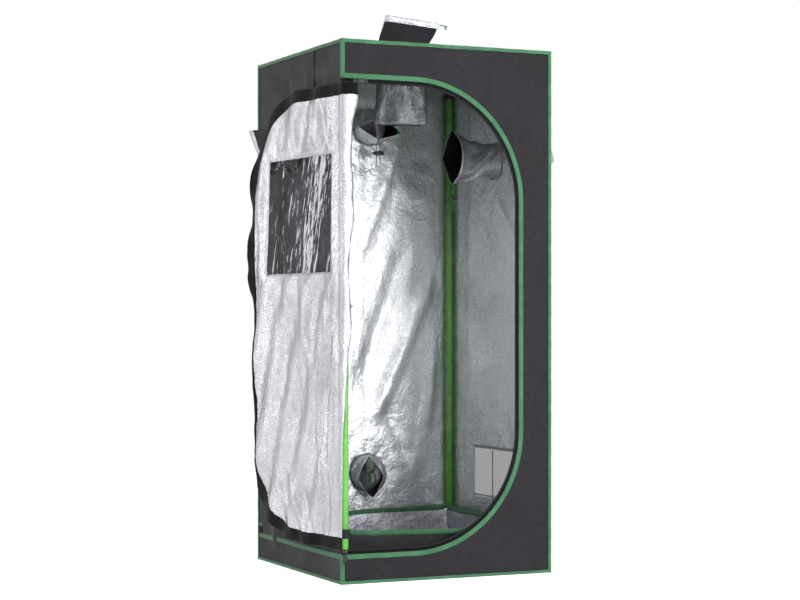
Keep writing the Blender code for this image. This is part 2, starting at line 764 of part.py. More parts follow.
# A sleeve's stations run from its outer mouth to its inner one. Each holds how far out it lies, how far up
# and how far sideways, all as shares of the sleeve's length on that side of the wall, the turn of its wide
# axis in degrees, half its width and half its thickness as shares of the port's radius, how pointed its
# sides are, and the depth of its gathers as a share of its radius.
MOUTHS = {}
CREASES = 5
ROOF_TURN = -24.5
LEAN_SHARE = 0.6
ROOF_LIP_SLOPE_SHARE = -0.17
LEFT_LIP_SLOPE_SHARE = 0.20
ROOF_SLEEVE_OUT = 0.110
ROOF_SLEEVE_IN = 0.182
ROOF_SLEEVE_SHARES = (
    (1.00, -0.125, 0.27, ROOF_TURN, 1.50, 0.14, 1.0, 0.00),
    (0.72, -0.080, 0.17, ROOF_TURN, 1.46, 0.20, 1.0, 0.02),
    (0.36, -0.025, 0.05, ROOF_TURN, 1.28, 0.55, 1.0, 0.02),
    (0.00, 0.000, 0.00, 0.0, 1.00, 1.00, 1.0, 0.00),
    (-0.25, 0.000, 0.00, ROOF_TURN, 1.08, 0.85, 1.0, 0.03),
    (-0.60, 0.010, 0.01, ROOF_TURN, 1.30, 0.48, 1.0, 0.05),
    (-1.00, 0.020, 0.00, ROOF_TURN, 1.38, 0.24, 1.1, 0.06),
)
RIGHT_SLEEVE_OUT = 0.178
RIGHT_SLEEVE_IN = 0.137
RIGHT_SLEEVE_SHARES = (
    (1.00, 0.125, 0.00, 40.0, 0.60, 0.34, 1.3, 0.00),
    (0.80, 0.110, 0.00, 40.0, 1.00, 0.50, 1.0, 0.05),
    (0.40, 0.040, 0.00, 30.0, 1.15, 0.80, 1.0, 0.05),
    (0.00, 0.000, 0.00, 0.0, 1.00, 1.00, 1.0, 0.00),
    (-0.30, 0.010, -0.01, 30.0, 1.00, 0.92, 1.0, 0.04),
    (-0.65, 0.020, -0.06, 70.0, 1.25, 0.60, 1.1, 0.06),
    (-1.00, 0.030, -0.15, 88.0, 1.55, 0.42, 1.4, 0.03),
)
LEFT_SLEEVE_OUT = 0.110
LEFT_SLEEVE_IN = 0.105
LEFT_SLEEVE_SHARES = (
    (0.33, 0.090, -1.00, 118.0, 1.50, 0.13, 1.0, 0.00),
    (0.27, 0.110, -0.66, 114.0, 1.36, 0.18, 1.0, 0.02),
    (0.21, 0.060, -0.28, 105.0, 1.15, 0.26, 1.0, 0.02),
    (0.00, 0.000, 0.00, 0.0, 1.00, 1.00, 1.0, 0.00),
    (-0.40, -0.060, 0.00, 0.0, 1.10, 0.75, 1.0, 0.04),
    (-0.80, -0.260, 0.00, 0.0, 1.25, 0.45, 1.0, 0.05),
    (-1.00, -0.440, 0.00, 0.0, 1.38, 0.24, 1.0, 0.03),
)
REAR_HIGH_SLEEVE_OUT = 0.095
REAR_HIGH_SLEEVE_IN = 0.098
REAR_HIGH_SLEEVE_SHARES = (
    (0.95, -0.900, 0.00, 0.0, 1.42, 0.20, 1.0, 0.00),
    (0.75, -0.450, 0.00, 0.0, 1.35, 0.40, 1.0, 0.04),
    (0.40, -0.100, 0.00, 0.0, 1.12, 0.80, 1.0, 0.04),
    (0.00, 0.000, 0.00, 0.0, 1.00, 1.00, 1.0, 0.00),
    (-0.35, 0.020, 0.00, 10.0, 1.02, 0.94, 1.0, 0.03),
    (-0.70, -0.040, -0.05, 8.0, 1.08, 0.76, 1.2, 0.05),
    (-1.00, -0.180, -0.08, 6.0, 1.10, 0.56, 1.6, 0.00),
)
REAR_LOW_SLEEVE_OUT = 0.095
REAR_LOW_SLEEVE_IN = 0.044
REAR_LOW_SLEEVE_SHARES = (
    (0.95, -0.900, 0.00, 0.0, 1.42, 0.20, 1.0, 0.00),
    (0.75, -0.450, 0.00, 0.0, 1.35, 0.40, 1.0, 0.04),
    (0.40, -0.100, 0.00, 0.0, 1.12, 0.80, 1.0, 0.04),
    (0.00, 0.000, 0.00, 0.0, 1.00, 1.00, 1.0, 0.00),
    (-0.45, -0.050, 0.00, 30.0, 1.02, 0.98, 1.0, 0.03),
    (-0.75, -0.150, 0.05, 70.0, 1.10, 0.86, 1.2, 0.04),
    (-1.00, -0.260, 0.12, 84.0, 1.18, 0.74, 1.6, 0.00),
)


def bend(share, power):
    """A cosine or sine drawn towards the axes, which turns an ellipse into a lens or a diamond."""
    size = abs(share) ** power
    return size if share >= 0 else -size


def sleeve_ring(centre, travel, wide, half_wide, half_thick, point, gather):
    """One ring of a sleeve, along its wide axis and across the way it runs."""
    wide = wide.normalized()
    thick = travel.cross(wide).normalized()
    ring = []
    for index in range(SLEEVE_SIDES):
        angle = 2 * pi * index / SLEEVE_SIDES
        swell = 1 + gather * sin(CREASES * angle)
        reach = bend(cos(angle), point) * half_wide * swell
        rise = bend(sin(angle), point) * half_thick * swell
        ring.append(centre + wide * reach + thick * rise)
    return ring


def sleeve(name, centre, outward, upward, length_out, length_in, shares, tip=0.0):
    """A duct sleeve: a cloth tube through a wall, round where it is sewn in and slack at its mouths.

    The outer mouth's wide axis leans outward by the tip, as a share of its length.
    """
    centre = Vector(centre)
    outward = Vector(outward)
    upward = Vector(upward)
    across = upward.cross(outward)
    rows = []
    for reach, rise, drift, turn, wide, thick, point, gather in shares:
        length = length_out if reach >= 0 else length_in
        place = centre + (outward * reach + upward * rise + across * drift) * length
        lean = tip * max(reach, 0) / shares[0][0]
        axis = across * cos(radians(turn)) + upward * sin(radians(turn)) + outward * lean
        row = (axis, wide * PORT_RADIUS, thick * PORT_RADIUS, point, gather)
        if reach == 0:
            rows.append((place + outward * SLEEVE_COLLAR, -outward, row))
            rows.append((place - outward * SLEEVE_COLLAR, -outward, row))
        else:
            rows.append((place, None, row))
    rings = []
    for index, (place, travel, row) in enumerate(rows):
        if travel is None:
            before = rows[max(index - 1, 0)][0]
            after = rows[min(index + 1, len(rows) - 1)][0]
            travel = -outward.lerp(-(after - before).normalized(), LEAN_SHARE).normalized()
        rings.append(sleeve_ring(place, travel, *row))
    MOUTHS[name] = rings[-1]
    return loft(name, rings, SLEEVE_CLOTH, "silver_cloth")


def make_sleeves():
    """Five duct sleeves: in the roof, in each side wall, and two in the rear wall."""
    up = (0, 0, 1)
    sleeve(
        "sleeve_roof", (0, 0, HEIGHT - CLOTH / 2), up, (0, 1, 0), ROOF_SLEEVE_OUT, ROOF_SLEEVE_IN,
        ROOF_SLEEVE_SHARES, ROOF_LIP_SLOPE_SHARE,
    )
    side = WIDTH / 2 - CLOTH / 2
    rear = DEPTH / 2 - CLOTH / 2
    sleeve(
        "sleeve_right", (side, SIDE_PORT_Y, SIDE_PORT_Z), (1, 0, 0), up, RIGHT_SLEEVE_OUT, RIGHT_SLEEVE_IN,
        RIGHT_SLEEVE_SHARES,
    )
    sleeve(
        "sleeve_left", (-side, SIDE_PORT_Y, SIDE_PORT_Z), (-1, 0, 0), up, LEFT_SLEEVE_OUT, LEFT_SLEEVE_IN,
        LEFT_SLEEVE_SHARES, LEFT_LIP_SLOPE_SHARE,
    )
    sleeve(
        "sleeve_rear_upper", (REAR_PORT_X, rear, REAR_HIGH_Z), (0, 1, 0), up, REAR_HIGH_SLEEVE_OUT,
        REAR_HIGH_SLEEVE_IN, REAR_HIGH_SLEEVE_SHARES,
    )
    sleeve(
        "sleeve_rear_lower", (REAR_LOW_X, rear, REAR_LOW_Z), (0, 1, 0), up, REAR_LOW_SLEEVE_OUT,
        REAR_LOW_SLEEVE_IN, REAR_LOW_SLEEVE_SHARES,
    )


# Each drawcord is a hairpin: it leaves the hem of its sleeve, runs through a lock and turns back in a loop.
# The routes are in metres from the lowest point of the sleeve's inner mouth: sideways, forwards and down.
ROOF_CORD = (
    (-0.0017, 0.0, 0.0), (-0.0022, 0.0, 0.007), (-0.0040, 0.0, 0.018), (-0.0048, 0.001, 0.030),
    (-0.0052, 0.001, 0.046), (-0.0054, 0.001, 0.058), (-0.0040, 0.001, 0.0635), (0.0000, 0.001, 0.0655),
    (0.0040, 0.001, 0.0635), (0.0054, 0.001, 0.058), (0.0052, 0.001, 0.046), (0.0048, 0.001, 0.030),
    (0.0040, 0.0, 0.018), (0.0022, 0.0, 0.007), (0.0017, 0.0, 0.0),
)
LOCKED_CORD = (
    (-0.0017, 0.0, 0.0), (-0.0022, 0.0, 0.006), (-0.0042, 0.0, 0.014), (-0.0050, 0.0, 0.019),
    (-0.0050, 0.0, 0.030), (-0.0050, 0.0, 0.048), (-0.0050, 0.0, 0.062), (-0.0056, 0.0, 0.070),
    (-0.0046, 0.0, 0.0765), (0.0000, 0.0, 0.0790), (0.0046, 0.0, 0.0765), (0.0056, 0.0, 0.070),
    (0.0050, 0.0, 0.062), (0.0050, 0.0, 0.048), (0.0050, 0.0, 0.030), (0.0050, 0.0, 0.019),
    (0.0042, 0.0, 0.014), (0.0022, 0.0, 0.006), (0.0017, 0.0, 0.0),
)
STRAND_SIDE = 0.0050
LOCK_DROP = 0.040


def lowest(ring):
    return min(ring, key=lambda point: point.z)


def highest(ring):
    return max(ring, key=lambda point: point.z)


def hang_cord(name, top, side, forward, route):
    """A drawcord whose route hangs from a point, spread along one level direction."""
    points = [top + side * across + forward * ahead - Vector((0, 0, down)) for across, ahead, down in route]
    return cord_tube(name, points, CORD_DIAMETER, "green_trim")


def cord_lock(name, top, side):
    """A spring lock: a rounded bar with a bore for each strand of its cord."""
    forward = Vector((0, 0, 1)).cross(side)
    centre = top - Vector((0, 0, LOCK_DROP))
    place = Matrix.Translation(centre) @ Matrix((side, forward, (0, 0, 1))).transposed().to_4x4()
    half = (LOCK_LONG / 2, LOCK_THICK / 2, LOCK_HIGH / 2)
    lock = block(name, [-size for size in half], half, "black_plastic", place, LOCK_BEVEL)
    bores = []
    for number, sign in enumerate((-1, 1)):
        seat = place @ Matrix.Translation((sign * STRAND_SIDE, 0, 0))
        reach = LOCK_HIGH / 2 + OVERRUN
        bores.append(
            rod(f"{name}_bore_{number}", CORD_DIAMETER / 2 + 2 * GAP, -reach, reach, "black_plastic", seat, CORD_SIDES)
        )
    cut(lock, *bores)
    return lock


def make_cords():
    """The drawcords of the sleeves' mouths, with their locks."""
    drop = Vector((0, 0, GAP))
    level = Vector((1, 0, 0))
    ahead = Vector((0, -1, 0))
    roof_side = Vector((cos(radians(ROOF_TURN)), sin(radians(ROOF_TURN)), 0))
    roof_front = Vector((sin(radians(ROOF_TURN)), -cos(radians(ROOF_TURN)), 0))
    hang_cord("cord_roof_inner", lowest(MOUTHS["sleeve_roof"]) - drop, roof_side, roof_front, ROOF_CORD)
    tops = {
        "rear_upper": lowest(MOUTHS["sleeve_rear_upper"]) - drop,
        "right": lowest(MOUTHS["sleeve_right"]) - drop,
        "rear_lower": highest(MOUTHS["sleeve_rear_lower"]) + ahead * (CORD_DIAMETER / 2 + 2 * GAP),
    }
    for place, top in tops.items():
        side = ahead if place == "right" else level
        hang_cord(f"cord_{place}", top, side, Vector((0, 0, 1)).cross(side), LOCKED_CORD)
        cord_lock(f"lock_{place}", top, side)


def make_vent():
    """The mesh window low in the right wall, and the flap that folds up over it from outside."""
    window = rectangle(
        VENT_Y - VENT_LONG / 2 + GAP, VENT_LOW + GAP, VENT_Y + VENT_LONG / 2 - GAP, VENT_LOW + VENT_TALL - GAP
    )
    outline_curve(
        "vent_mesh", [window], MESH_THICK, "grey_mesh", Matrix.Translation((WIDTH / 2 - CLOTH / 2, 0, 0)) @ SIDE
    )
    hinge = Matrix.Translation((WIDTH / 2 + FLAP_DROP, VENT_Y, VENT_LOW - FLAP_ROLL))
    half = VENT_LONG / 2 + FLAP_MARGIN
    tall = VENT_TALL + FLAP_ROLL + FLAP_MARGIN
    flap = block(
        "vent_flap", (-FLAP_CLOTH / 2, -half, -tall), (FLAP_CLOTH / 2, half, 0), "black_cloth", hinge
    )
    roll = rod("vent_flap_roll", FLAP_ROLL, -half + GAP, half - GAP, "black_cloth", hinge @ along((0, 1, 0), (0, 0, 0)))
    join(flap, roll)


TRAY_X = POST_X - TUBE_OD / 2 - GAP - SOCKET_WALL - TRAY_SIDE_GAP
TRAY_Y = POST_Y - TUBE_OD / 2 - GAP - SOCKET_WALL - TRAY_SIDE_GAP
TRAY_SIDE_STEPS = 6
TRAY_CORNER_STEPS = 2


def tray_path():
    """Points round the tray's rim with the direction that faces out of it, anticlockwise from above."""
    path = []
    centres = ((1, 1, 0), (-1, 1, 1), (-1, -1, 2), (1, -1, 3))
    for right, back, quarter in centres:
        middle = Vector((right * (TRAY_X - TRAY_CORNER), back * (TRAY_Y - TRAY_CORNER), 0))
        for step in range(TRAY_CORNER_STEPS + 1):
            angle = pi / 2 * (quarter + step / TRAY_CORNER_STEPS)
            out = Vector((cos(angle), sin(angle), 0))
            path.append((middle + out * TRAY_CORNER, out))
        turn = pi / 2 * (quarter + 1)
        out = Vector((cos(turn), sin(turn), 0))
        run = 2 * (TRAY_X - TRAY_CORNER) if quarter % 2 == 0 else 2 * (TRAY_Y - TRAY_CORNER)
        way = Vector((-sin(turn), cos(turn), 0))
        start = middle + out * TRAY_CORNER
        for step in range(1, TRAY_SIDE_STEPS):
            path.append((start + way * run * step / TRAY_SIDE_STEPS, out))
    return path


def rim_height(index, count):
    """The height of the tray's slack rim, which dips between its corners."""
    return TRAY_TALL - TRAY_WAVE * (1 + cos(8 * pi * index / count)) / 2


def make_tray():
    """The lift-out tray with its bound rim, and what ties it to two posts."""
    path = tray_path()
    count = len(path)
    heights = [rim_height(index, count) for index in range(count)]
    levels = [[point + Vector((0, 0, SEAM)) for point, _ in path]]
    levels.append([point + Vector((0, 0, height / 2)) for (point, _), height in zip(path, heights)])
    levels.append([point + Vector((0, 0, height)) for (point, _), height in zip(path, heights)])
    tray = loft("floor_tray", levels, TRAY_CLOTH, "black_cloth", cap_first=True)
    tray.modifiers["thickness"].use_even_offset = True
    outside = GAP + TRAY_BAND_CLOTH
    inside = -TRAY_CLOTH - GAP - TRAY_BAND_CLOTH
    cover = GAP + TRAY_BAND_CLOTH
    section = (
        (outside, -TRAY_BAND), (outside, cover), (inside, cover), (inside, -TRAY_BAND),
        (-TRAY_CLOTH - GAP, -TRAY_BAND), (-TRAY_CLOTH - GAP, GAP), (GAP, GAP), (GAP, -TRAY_BAND),
    )
    mesh = bpy.data.meshes.new("tray_binding")
    shape = bmesh.new()
    rows = []
    for (point, out), height in zip(path, heights):
        rows.append([shape.verts.new(point + out * side + Vector((0, 0, height + up))) for side, up in section])
    for row, after in zip(rows, rows[1:] + rows[:1]):
        for i in range(len(section)):
            j = (i + 1) % len(section)
            shape.faces.new((row[i], after[i], after[j], row[j]))
    shape.to_mesh(mesh)
    shape.free()
    add_object("tray_binding", mesh, "green_trim")
    inner = TUBE_OD / 2 + GAP
    post = Matrix.Translation((-POST_X, -POST_Y, STRAP_LOW))
    strap = turned(
        "tray_strap_front_left",
        [(inner + STRAP_CLOTH, STRAP_TALL), (inner + STRAP_CLOTH, 0), (inner, 0), (inner, STRAP_TALL)],
        "black_cloth", post,
    )
    gap_x = POST_X - TRAY_X + TRAY_CORNER
    reach = hypot(gap_x, gap_x) - TRAY_CORNER - outside - GAP
    tail = block(
        "tray_strap_tail", (inner + STRAP_CLOTH / 2, -STRAP_CLOTH, 0), (reach, STRAP_CLOTH, STRAP_TALL),
        "black_cloth", post @ Matrix.Rotation(pi / 4, 4, "Z"),
    )
    join(strap, tail)
    knot_radius = inner + CORD_DIAMETER / 2
    rear_post = Matrix.Translation((POST_X, POST_Y, TIE_HIGH)) @ Matrix.Rotation(-3 * pi / 4, 4, "Z")
    ring = bpy.data.meshes.new("tray_cord_rear_right")
    shape = bmesh.new()
    rounds = []
    for step in range(TIE_STEPS):
        turn = Matrix.Rotation(2 * pi * step / TIE_STEPS, 4, "Z")
        loop = [(knot_radius + x, 0, z) for x, z in circle(0, 0, CORD_DIAMETER / 2, CORD_SIDES)]
        rounds.append([shape.verts.new(turn @ Vector(point)) for point in loop])
    for row, after in zip(rounds, rounds[1:] + rounds[:1]):
        for i in range(CORD_SIDES):
            j = (i + 1) % CORD_SIDES
            shape.faces.new((row[i], after[i], after[j], row[j]))
    shape.to_mesh(ring)
    shape.free()
    tie = add_object("tray_cord_rear_right", ring, "green_trim", rear_post)
    bead_mesh = bpy.data.meshes.new("tray_cord_bead")
    shape = bmesh.new()
    bead_radius = (reach - knot_radius) / 2
    seat = Matrix.Translation((reach - bead_radius, 0, 0))
    bmesh.ops.create_uvsphere(shape, u_segments=BEAD_SIDES, v_segments=CORD_SIDES, radius=bead_radius, matrix=seat)
    shape.to_mesh(bead_mesh)
    shape.free()
    bead = add_object("tray_cord_bead", bead_mesh, "black_plastic", rear_post)
    join(tie, bead)


def make_webbing():
    """The tie that holds the rolled door, and the loop sewn on at the foot of the rear left corner."""
    wall = -WIDTH / 2 - GAP
    high = HEIGHT - PIPING - GAP
    block(
        "door_tie_strap", (wall - TIE_CLOTH, TIE_Y - TIE_WIDE / 2, high - TIE_DROP),
        (wall, TIE_Y + TIE_WIDE / 2, high), "black_cloth",
    )
    centre = DEPTH / 2 - PIPING - LOOP_LONG / 2
    outer = []
    inner = []
    for step in range(LOOP_STEPS + 1):
        angle = pi * step / LOOP_STEPS
        outer.append((-LOOP_REACH * sin(angle), LOOP_LONG / 2 * cos(angle)))
        inner.append(
            (-(LOOP_REACH - TIE_CLOTH) * sin(angle), (LOOP_LONG / 2 - TIE_CLOTH) * cos(angle))
        )
    outline_curve(
        "corner_loop", [outer + list(reversed(inner))], LOOP_TALL, "black_cloth",
        Matrix.Translation((wall, centre, LOOP_LOW + LOOP_TALL / 2)),
    )


make_frame()
make_hanging_bars()
make_cover()
make_binding()
make_zip_tape()
make_door()
make_zip_sliders()
make_sleeves()
make_cords()
make_vent()
make_tray()
make_webbing()
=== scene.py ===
"""Visual model of an indoor grow tent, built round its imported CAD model.

Lengths are in metres and +Z is up. The doorway faces -Y, and the origin is on the floor under the middle.
"""
from math import atan2, cos, exp, hypot, pi, radians, sin

import bmesh
import bpy
from mathutils import Matrix, Vector, noise


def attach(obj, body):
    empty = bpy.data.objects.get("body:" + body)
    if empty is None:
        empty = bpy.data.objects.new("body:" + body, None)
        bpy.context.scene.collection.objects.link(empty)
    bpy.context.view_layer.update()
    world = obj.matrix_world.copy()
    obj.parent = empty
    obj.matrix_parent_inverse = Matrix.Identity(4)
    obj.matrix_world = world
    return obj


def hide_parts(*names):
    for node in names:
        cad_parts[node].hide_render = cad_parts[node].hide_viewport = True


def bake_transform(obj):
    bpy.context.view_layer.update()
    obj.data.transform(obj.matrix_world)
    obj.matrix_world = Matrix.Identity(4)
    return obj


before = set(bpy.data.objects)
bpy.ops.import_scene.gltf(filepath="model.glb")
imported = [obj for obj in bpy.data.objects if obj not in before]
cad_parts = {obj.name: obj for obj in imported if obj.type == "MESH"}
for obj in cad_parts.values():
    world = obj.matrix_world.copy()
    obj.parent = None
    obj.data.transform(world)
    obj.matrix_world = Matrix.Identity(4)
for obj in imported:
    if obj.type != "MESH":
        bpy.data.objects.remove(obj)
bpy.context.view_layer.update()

# Cover
HALF = 0.305
HEIGHT = 1.400
CLOTH = 0.0008
SEAM = 0.0013
FRONT_AREA = 0.267

# Tube frame
TUBE_RADIUS = 0.010
POST = 0.2909
RAIL_LOW = 0.0141
RAIL_HIGH = 1.3859

# Doorway
DOOR_RIGHT = 0.221
DOOR_LOW = 0.064
DOOR_HIGH = 1.313
DOOR_RADIUS = 0.320
BAND = 0.013
TAPE = 0.012
TOOTH_PITCH = 0.0022
ARC_STEPS = 36

# Door leaf, in its own frame: along the cloth, off its silver side and up
HINGE = -0.3062
LEAF_ANGLE = radians(97)
HEM = 0.027
WINDOW = (0.052, 0.803, 0.397, 1.108)

# Duct sleeves
PORT_RADIUS = 0.050
PORT_PATCH = 0.078
SIDE_PORT = (0.025, 1.130)
REAR_HIGH_PORT = (0.040, 1.240)
REAR_LOW_PORT = (0.030, 0.236)

# Side vent, with the flap that hangs on it outside
VENT = (-0.149, 0.178, 0.149, 0.310)
FLAP_TALL = 0.1442
FLAP_ROLL = 0.0022
FLAP_OFF = 0.0029

# Floor tray and cords
TRAY_HALF = 0.2774
TRAY_TALL = 0.132
CORD_DIAMETER = 0.0025


def make_camera():
    """A camera 0.68 m above the floor and 5.5 m away, turned 24.5 degrees to the right."""
    data = bpy.data.cameras.new("camera")
    data.lens = 89.71
    data.sensor_width = 36
    data.shift_y = 0.0246
    data.clip_end = 60
    camera = bpy.data.objects.new("camera", data)
    camera.location = (-2.2903, -5.0152, 0.6797)
    camera.rotation_euler = (radians(90), 0, radians(-24.53))
    bpy.context.scene.collection.objects.link(camera)
    bpy.context.scene.camera = camera


def ramp(distance, length):
    """0 to 1 over a length, with a smooth start and end."""
    share = min(max(distance / length, 0), 1)
    return share * share * (3 - 2 * share)


def creases(x, y, size, seed):
    """Sharp valleys between soft lumps, as in crumpled film, from 0 to about 1."""
    first = abs(noise.noise(Vector((x / size, y / size, seed))))
    second = abs(noise.noise(Vector((2.3 * x / size, 2.3 * y / size, seed + 7.3))))
    return first + 0.45 * second


def hump(off, width):
    """1 at the middle of a rounded ridge, and near 0 two widths from it."""
    return exp(-((off / width) ** 2))


def ridge(x, y, start, end, width, height):
    """A soft straight fold from start to end that dies out at both ends."""
    run_x = end[0] - start[0]
    run_y = end[1] - start[1]
    length = hypot(run_x, run_y)
    along = ((x - start[0]) * run_x + (y - start[1]) * run_y) / length
    off = ((x - start[0]) * run_y - (y - start[1]) * run_x) / length
    if not -length < along < 2 * length:
        return 0.0
    ends = ramp(along + length / 4, length / 3) * ramp(1.25 * length - along, length / 3)
    return height * ends * hump(off, width)


def ridges(x, y, folds):
    """The sum of several ridges."""
    return sum(ridge(x, y, *each) for each in folds)


def smooth_line(knots, count):
    """Points at even parameter steps along a smooth curve through the knots."""
    knots = [Vector(knot) for knot in knots]
    knots = [2 * knots[0] - knots[1], *knots, 2 * knots[-1] - knots[-2]]
    spans = len(knots) - 3
    points = []
    for step in range(count + 1):
        place = min(step * spans / count, spans - 1e-9)
        first = int(place)
        t = place - first
        a, b, c, d = knots[first : first + 4]
        bend = 2 * a - 5 * b + 4 * c - d
        twist = 3 * b - a - 3 * c + d
        points.append(0.5 * (2 * b + (c - a) * t + bend * t**2 + twist * t**3))
    return points


def eased_line(knots, count):
    """Points along a curve through the knots that never swings past one of them."""
    knots = [Vector(knot) for knot in knots]
    steps = [b - a for a, b in zip(knots, knots[1:])]
    slopes = [steps[0]]
    for first, second in zip(steps, steps[1:]):
        pairs = zip(first, second)
        slopes.append(Vector([2 * a * b / (a + b) if a * b > 0 else 0.0 for a, b in pairs]))
    slopes.append(steps[-1])
    points = []
    for number in range(count + 1):
        place = min(number * len(steps) / count, len(steps) - 1e-9)
        i = int(place)
        t = place - i
        start = knots[i] * (2 * t**3 - 3 * t**2 + 1) + slopes[i] * (t**3 - 2 * t**2 + t)
        points.append(start + knots[i + 1] * (3 * t**2 - 2 * t**3) + slopes[i + 1] * (t**3 - t**2))
    return points


def piece(name, vertices, faces, looks, body, slot, nodes=()):
    """A mesh object that rides on a body, if one is named, and stands for CAD nodes."""
    mesh = bpy.data.meshes.new(name)
    mesh.from_pydata([tuple(vertex) for vertex in vertices], [], faces)
    mesh.validate()
    mesh.shade_smooth()
    made = bpy.data.objects.new(name, mesh)
    bpy.context.scene.collection.objects.link(made)
    for look in looks if isinstance(looks, (list, tuple)) else [looks]:
        mesh.materials.append(look)
    if body:
        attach(made, body)
    if nodes:
        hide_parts(*nodes)
    return made


def thicken(made, thickness=CLOTH, offset=-1.0, looks=(0, 0)):
    """Give a cloth its thickness; looks are the material steps for its other side and its rim."""
    step = made.modifiers.new("thickness", "SOLIDIFY")
    step.thickness = thickness
    step.offset = offset
    step.material_offset, step.material_offset_rim = looks
    return made


def grid(rows, wrap=False):
    """Vertices and faces of a skin through rows of points."""
    count = len(rows[0])
    spans = count if wrap else count - 1
    vertices = [point for row in rows for point in row]
    faces = []
    for r in range(len(rows) - 1):
        for i in range(spans):
            j = (i + 1) % count
            faces.append((r * count + i, r * count + j, (r + 1) * count + j, (r + 1) * count + i))
    return vertices, faces


def merge(*parts):
    """Several sets of vertices and faces as one."""
    vertices = []
    faces = []
    for more, sides in parts:
        start = len(vertices)
        vertices.extend(more)
        faces.extend(tuple(start + corner for corner in face) for face in sides)
    return vertices, faces


def moved(part, place):
    """A part carried into another frame."""
    vertices, faces = part
    return [place @ Vector(vertex) for vertex in vertices], faces


def turned(profile, place=Matrix.Identity(4), sides=32, closed=False):
    """A profile of (radius, height) points turned about its own Z."""
    ways = [(cos(2 * pi * i / sides), sin(2 * pi * i / sides)) for i in range(sides)]
    rows = []
    for radius, height in profile:
        rows.append([place @ Vector((radius * x, radius * y, height)) for x, y in ways])
    if closed:
        rows.append(rows[0])
    return grid(rows, wrap=True)


def along(axis, origin):
    """A frame at a point whose own Z runs along an axis."""
    turn = Vector((0, 0, 1)).rotation_difference(Vector(axis)).to_matrix().to_4x4()
    return Matrix.Translation(origin) @ turn


def box_part(low, high, bevel, place=Matrix.Identity(4)):
    """A block between two corners, with rounded edges."""
    shape = bmesh.new()
    bmesh.ops.create_cube(shape, size=1.0)
    bmesh.ops.scale(shape, vec=[b - a for a, b in zip(low, high)], verts=shape.verts)
    bmesh.ops.translate(shape, vec=[(a + b) / 2 for a, b in zip(low, high)], verts=shape.verts)
    bmesh.ops.bevel(shape, geom=shape.edges, offset=bevel, segments=3, affect="EDGES", profile=0.5)
    vertices = [place @ vertex.co for vertex in shape.verts]
    faces = [tuple(corner.index for corner in face.verts) for face in shape.faces]
    shape.free()
    return vertices, faces


def sweep(path, section, closed=False):
    """A section of (side, up) points carried along a path of (point, side, up) entries."""
    rows = []
    for point, side, up in path:
        rows.append([Vector(point) + Vector(side) * a + Vector(up) * b for a, b in section])
    if closed:
        rows.append(rows[0])
    vertices, faces = grid(rows, wrap=True)
    if not closed:
        count = len(section)
        faces.append(tuple(range(count)))
        last = len(vertices) - count
        faces.append(tuple(last + i for i in reversed(range(count))))
    return vertices, faces


def rgb(red, green, blue):
    """The linear colour of a screen colour given from 0 to 255."""
    shares = [value / 255 for value in (red, green, blue)]
    return (*[s / 12.92 if s <= 0.04045 else ((s + 0.055) / 1.055) ** 2.4 for s in shares], 1.0)


def plug(tree, socket, value):
    """Link a node's output to a socket, or set the socket to a constant."""
    if isinstance(value, bpy.types.NodeSocket):
        tree.links.new(value, socket)
    else:
        socket.default_value = value


def add(tree, kind, inputs=None, **settings):
    """A shader node with its settings made and its inputs set or linked."""
    made = tree.nodes.new("ShaderNode" + kind)
    for key, value in settings.items():
        setattr(made, key, value)
    for key, value in (inputs or {}).items():
        plug(tree, made.inputs[key], value)
    return made


def maths(tree, operation, first, second=0.5):
    """One sum, of numbers or nodes' outputs."""
    return add(tree, "Math", {0: first, 1: second}, operation=operation).outputs[0]


def fit(tree, value, low, high, start, end):
    """A value carried from one range into another, and kept inside it."""
    inputs = {"Value": value, "From Min": low, "From Max": high, "To Min": start, "To Max": end}
    return add(tree, "MapRange", inputs).outputs["Result"]


def mixed(tree, factor, first, second):
    """A colour between two others."""
    made = tree.nodes.new("ShaderNodeMix")
    made.data_type = "RGBA"
    for index, value in ((0, factor), (6, first), (7, second)):
        plug(tree, made.inputs[index], value)
    return made.outputs[2]


def cloud(tree, place, scale, detail=3.0, roughness=0.5, distortion=0.0):
    """Smooth noise from about 0.3 to 0.7."""
    inputs = {
        "Vector": place, "Scale": scale, "Detail": detail, "Roughness": roughness,
        "Distortion": distortion,
    }
    return add(tree, "TexNoise", inputs).outputs["Fac"]


def bumped(tree, height, distance, normal=None, strength=1.0):
    """A normal with relief of a height, on top of another normal if one is given."""
    inputs = {"Height": height, "Distance": distance, "Strength": strength}
    if normal is not None:
        inputs["Normal"] = normal
    return add(tree, "Bump", inputs).outputs["Normal"]


def wire(tree, shader, **values):
    """Set or link a shader's inputs, which are named with underscores here."""
    for key, value in values.items():
        plug(tree, shader.inputs[key.replace("_", " ")], value)


def shaded(tone, share):
    """A screen colour made darker by a share."""
    return rgb(*[value * share for value in tone])


def start_look(name, **values):
    """A material, its node tree, its shader and the object's own coordinates."""
    look = bpy.data.materials.new(name)
    look.use_nodes = True
    tree = look.node_tree
    shader = tree.nodes["Principled BSDF"]
    wire(tree, shader, **values)
    place = add(tree, "TexCoord").outputs["Object"]
    return look, tree, shader, place


def weave(tree, place, pitch):
    """The threads of a plain weave, whichever way the cloth faces."""
    axes = add(tree, "SeparateXYZ", {0: place})
    turns = 2 * pi / pitch
    waves = [maths(tree, "SINE", maths(tree, "MULTIPLY", axes.outputs[i], turns)) for i in range(3)]
    pairs = [maths(tree, "MULTIPLY", waves[a], waves[b]) for a, b in ((0, 1), (1, 2), (2, 0))]
    return maths(tree, "ADD", maths(tree, "ADD", pairs[0], pairs[1]), pairs[2])


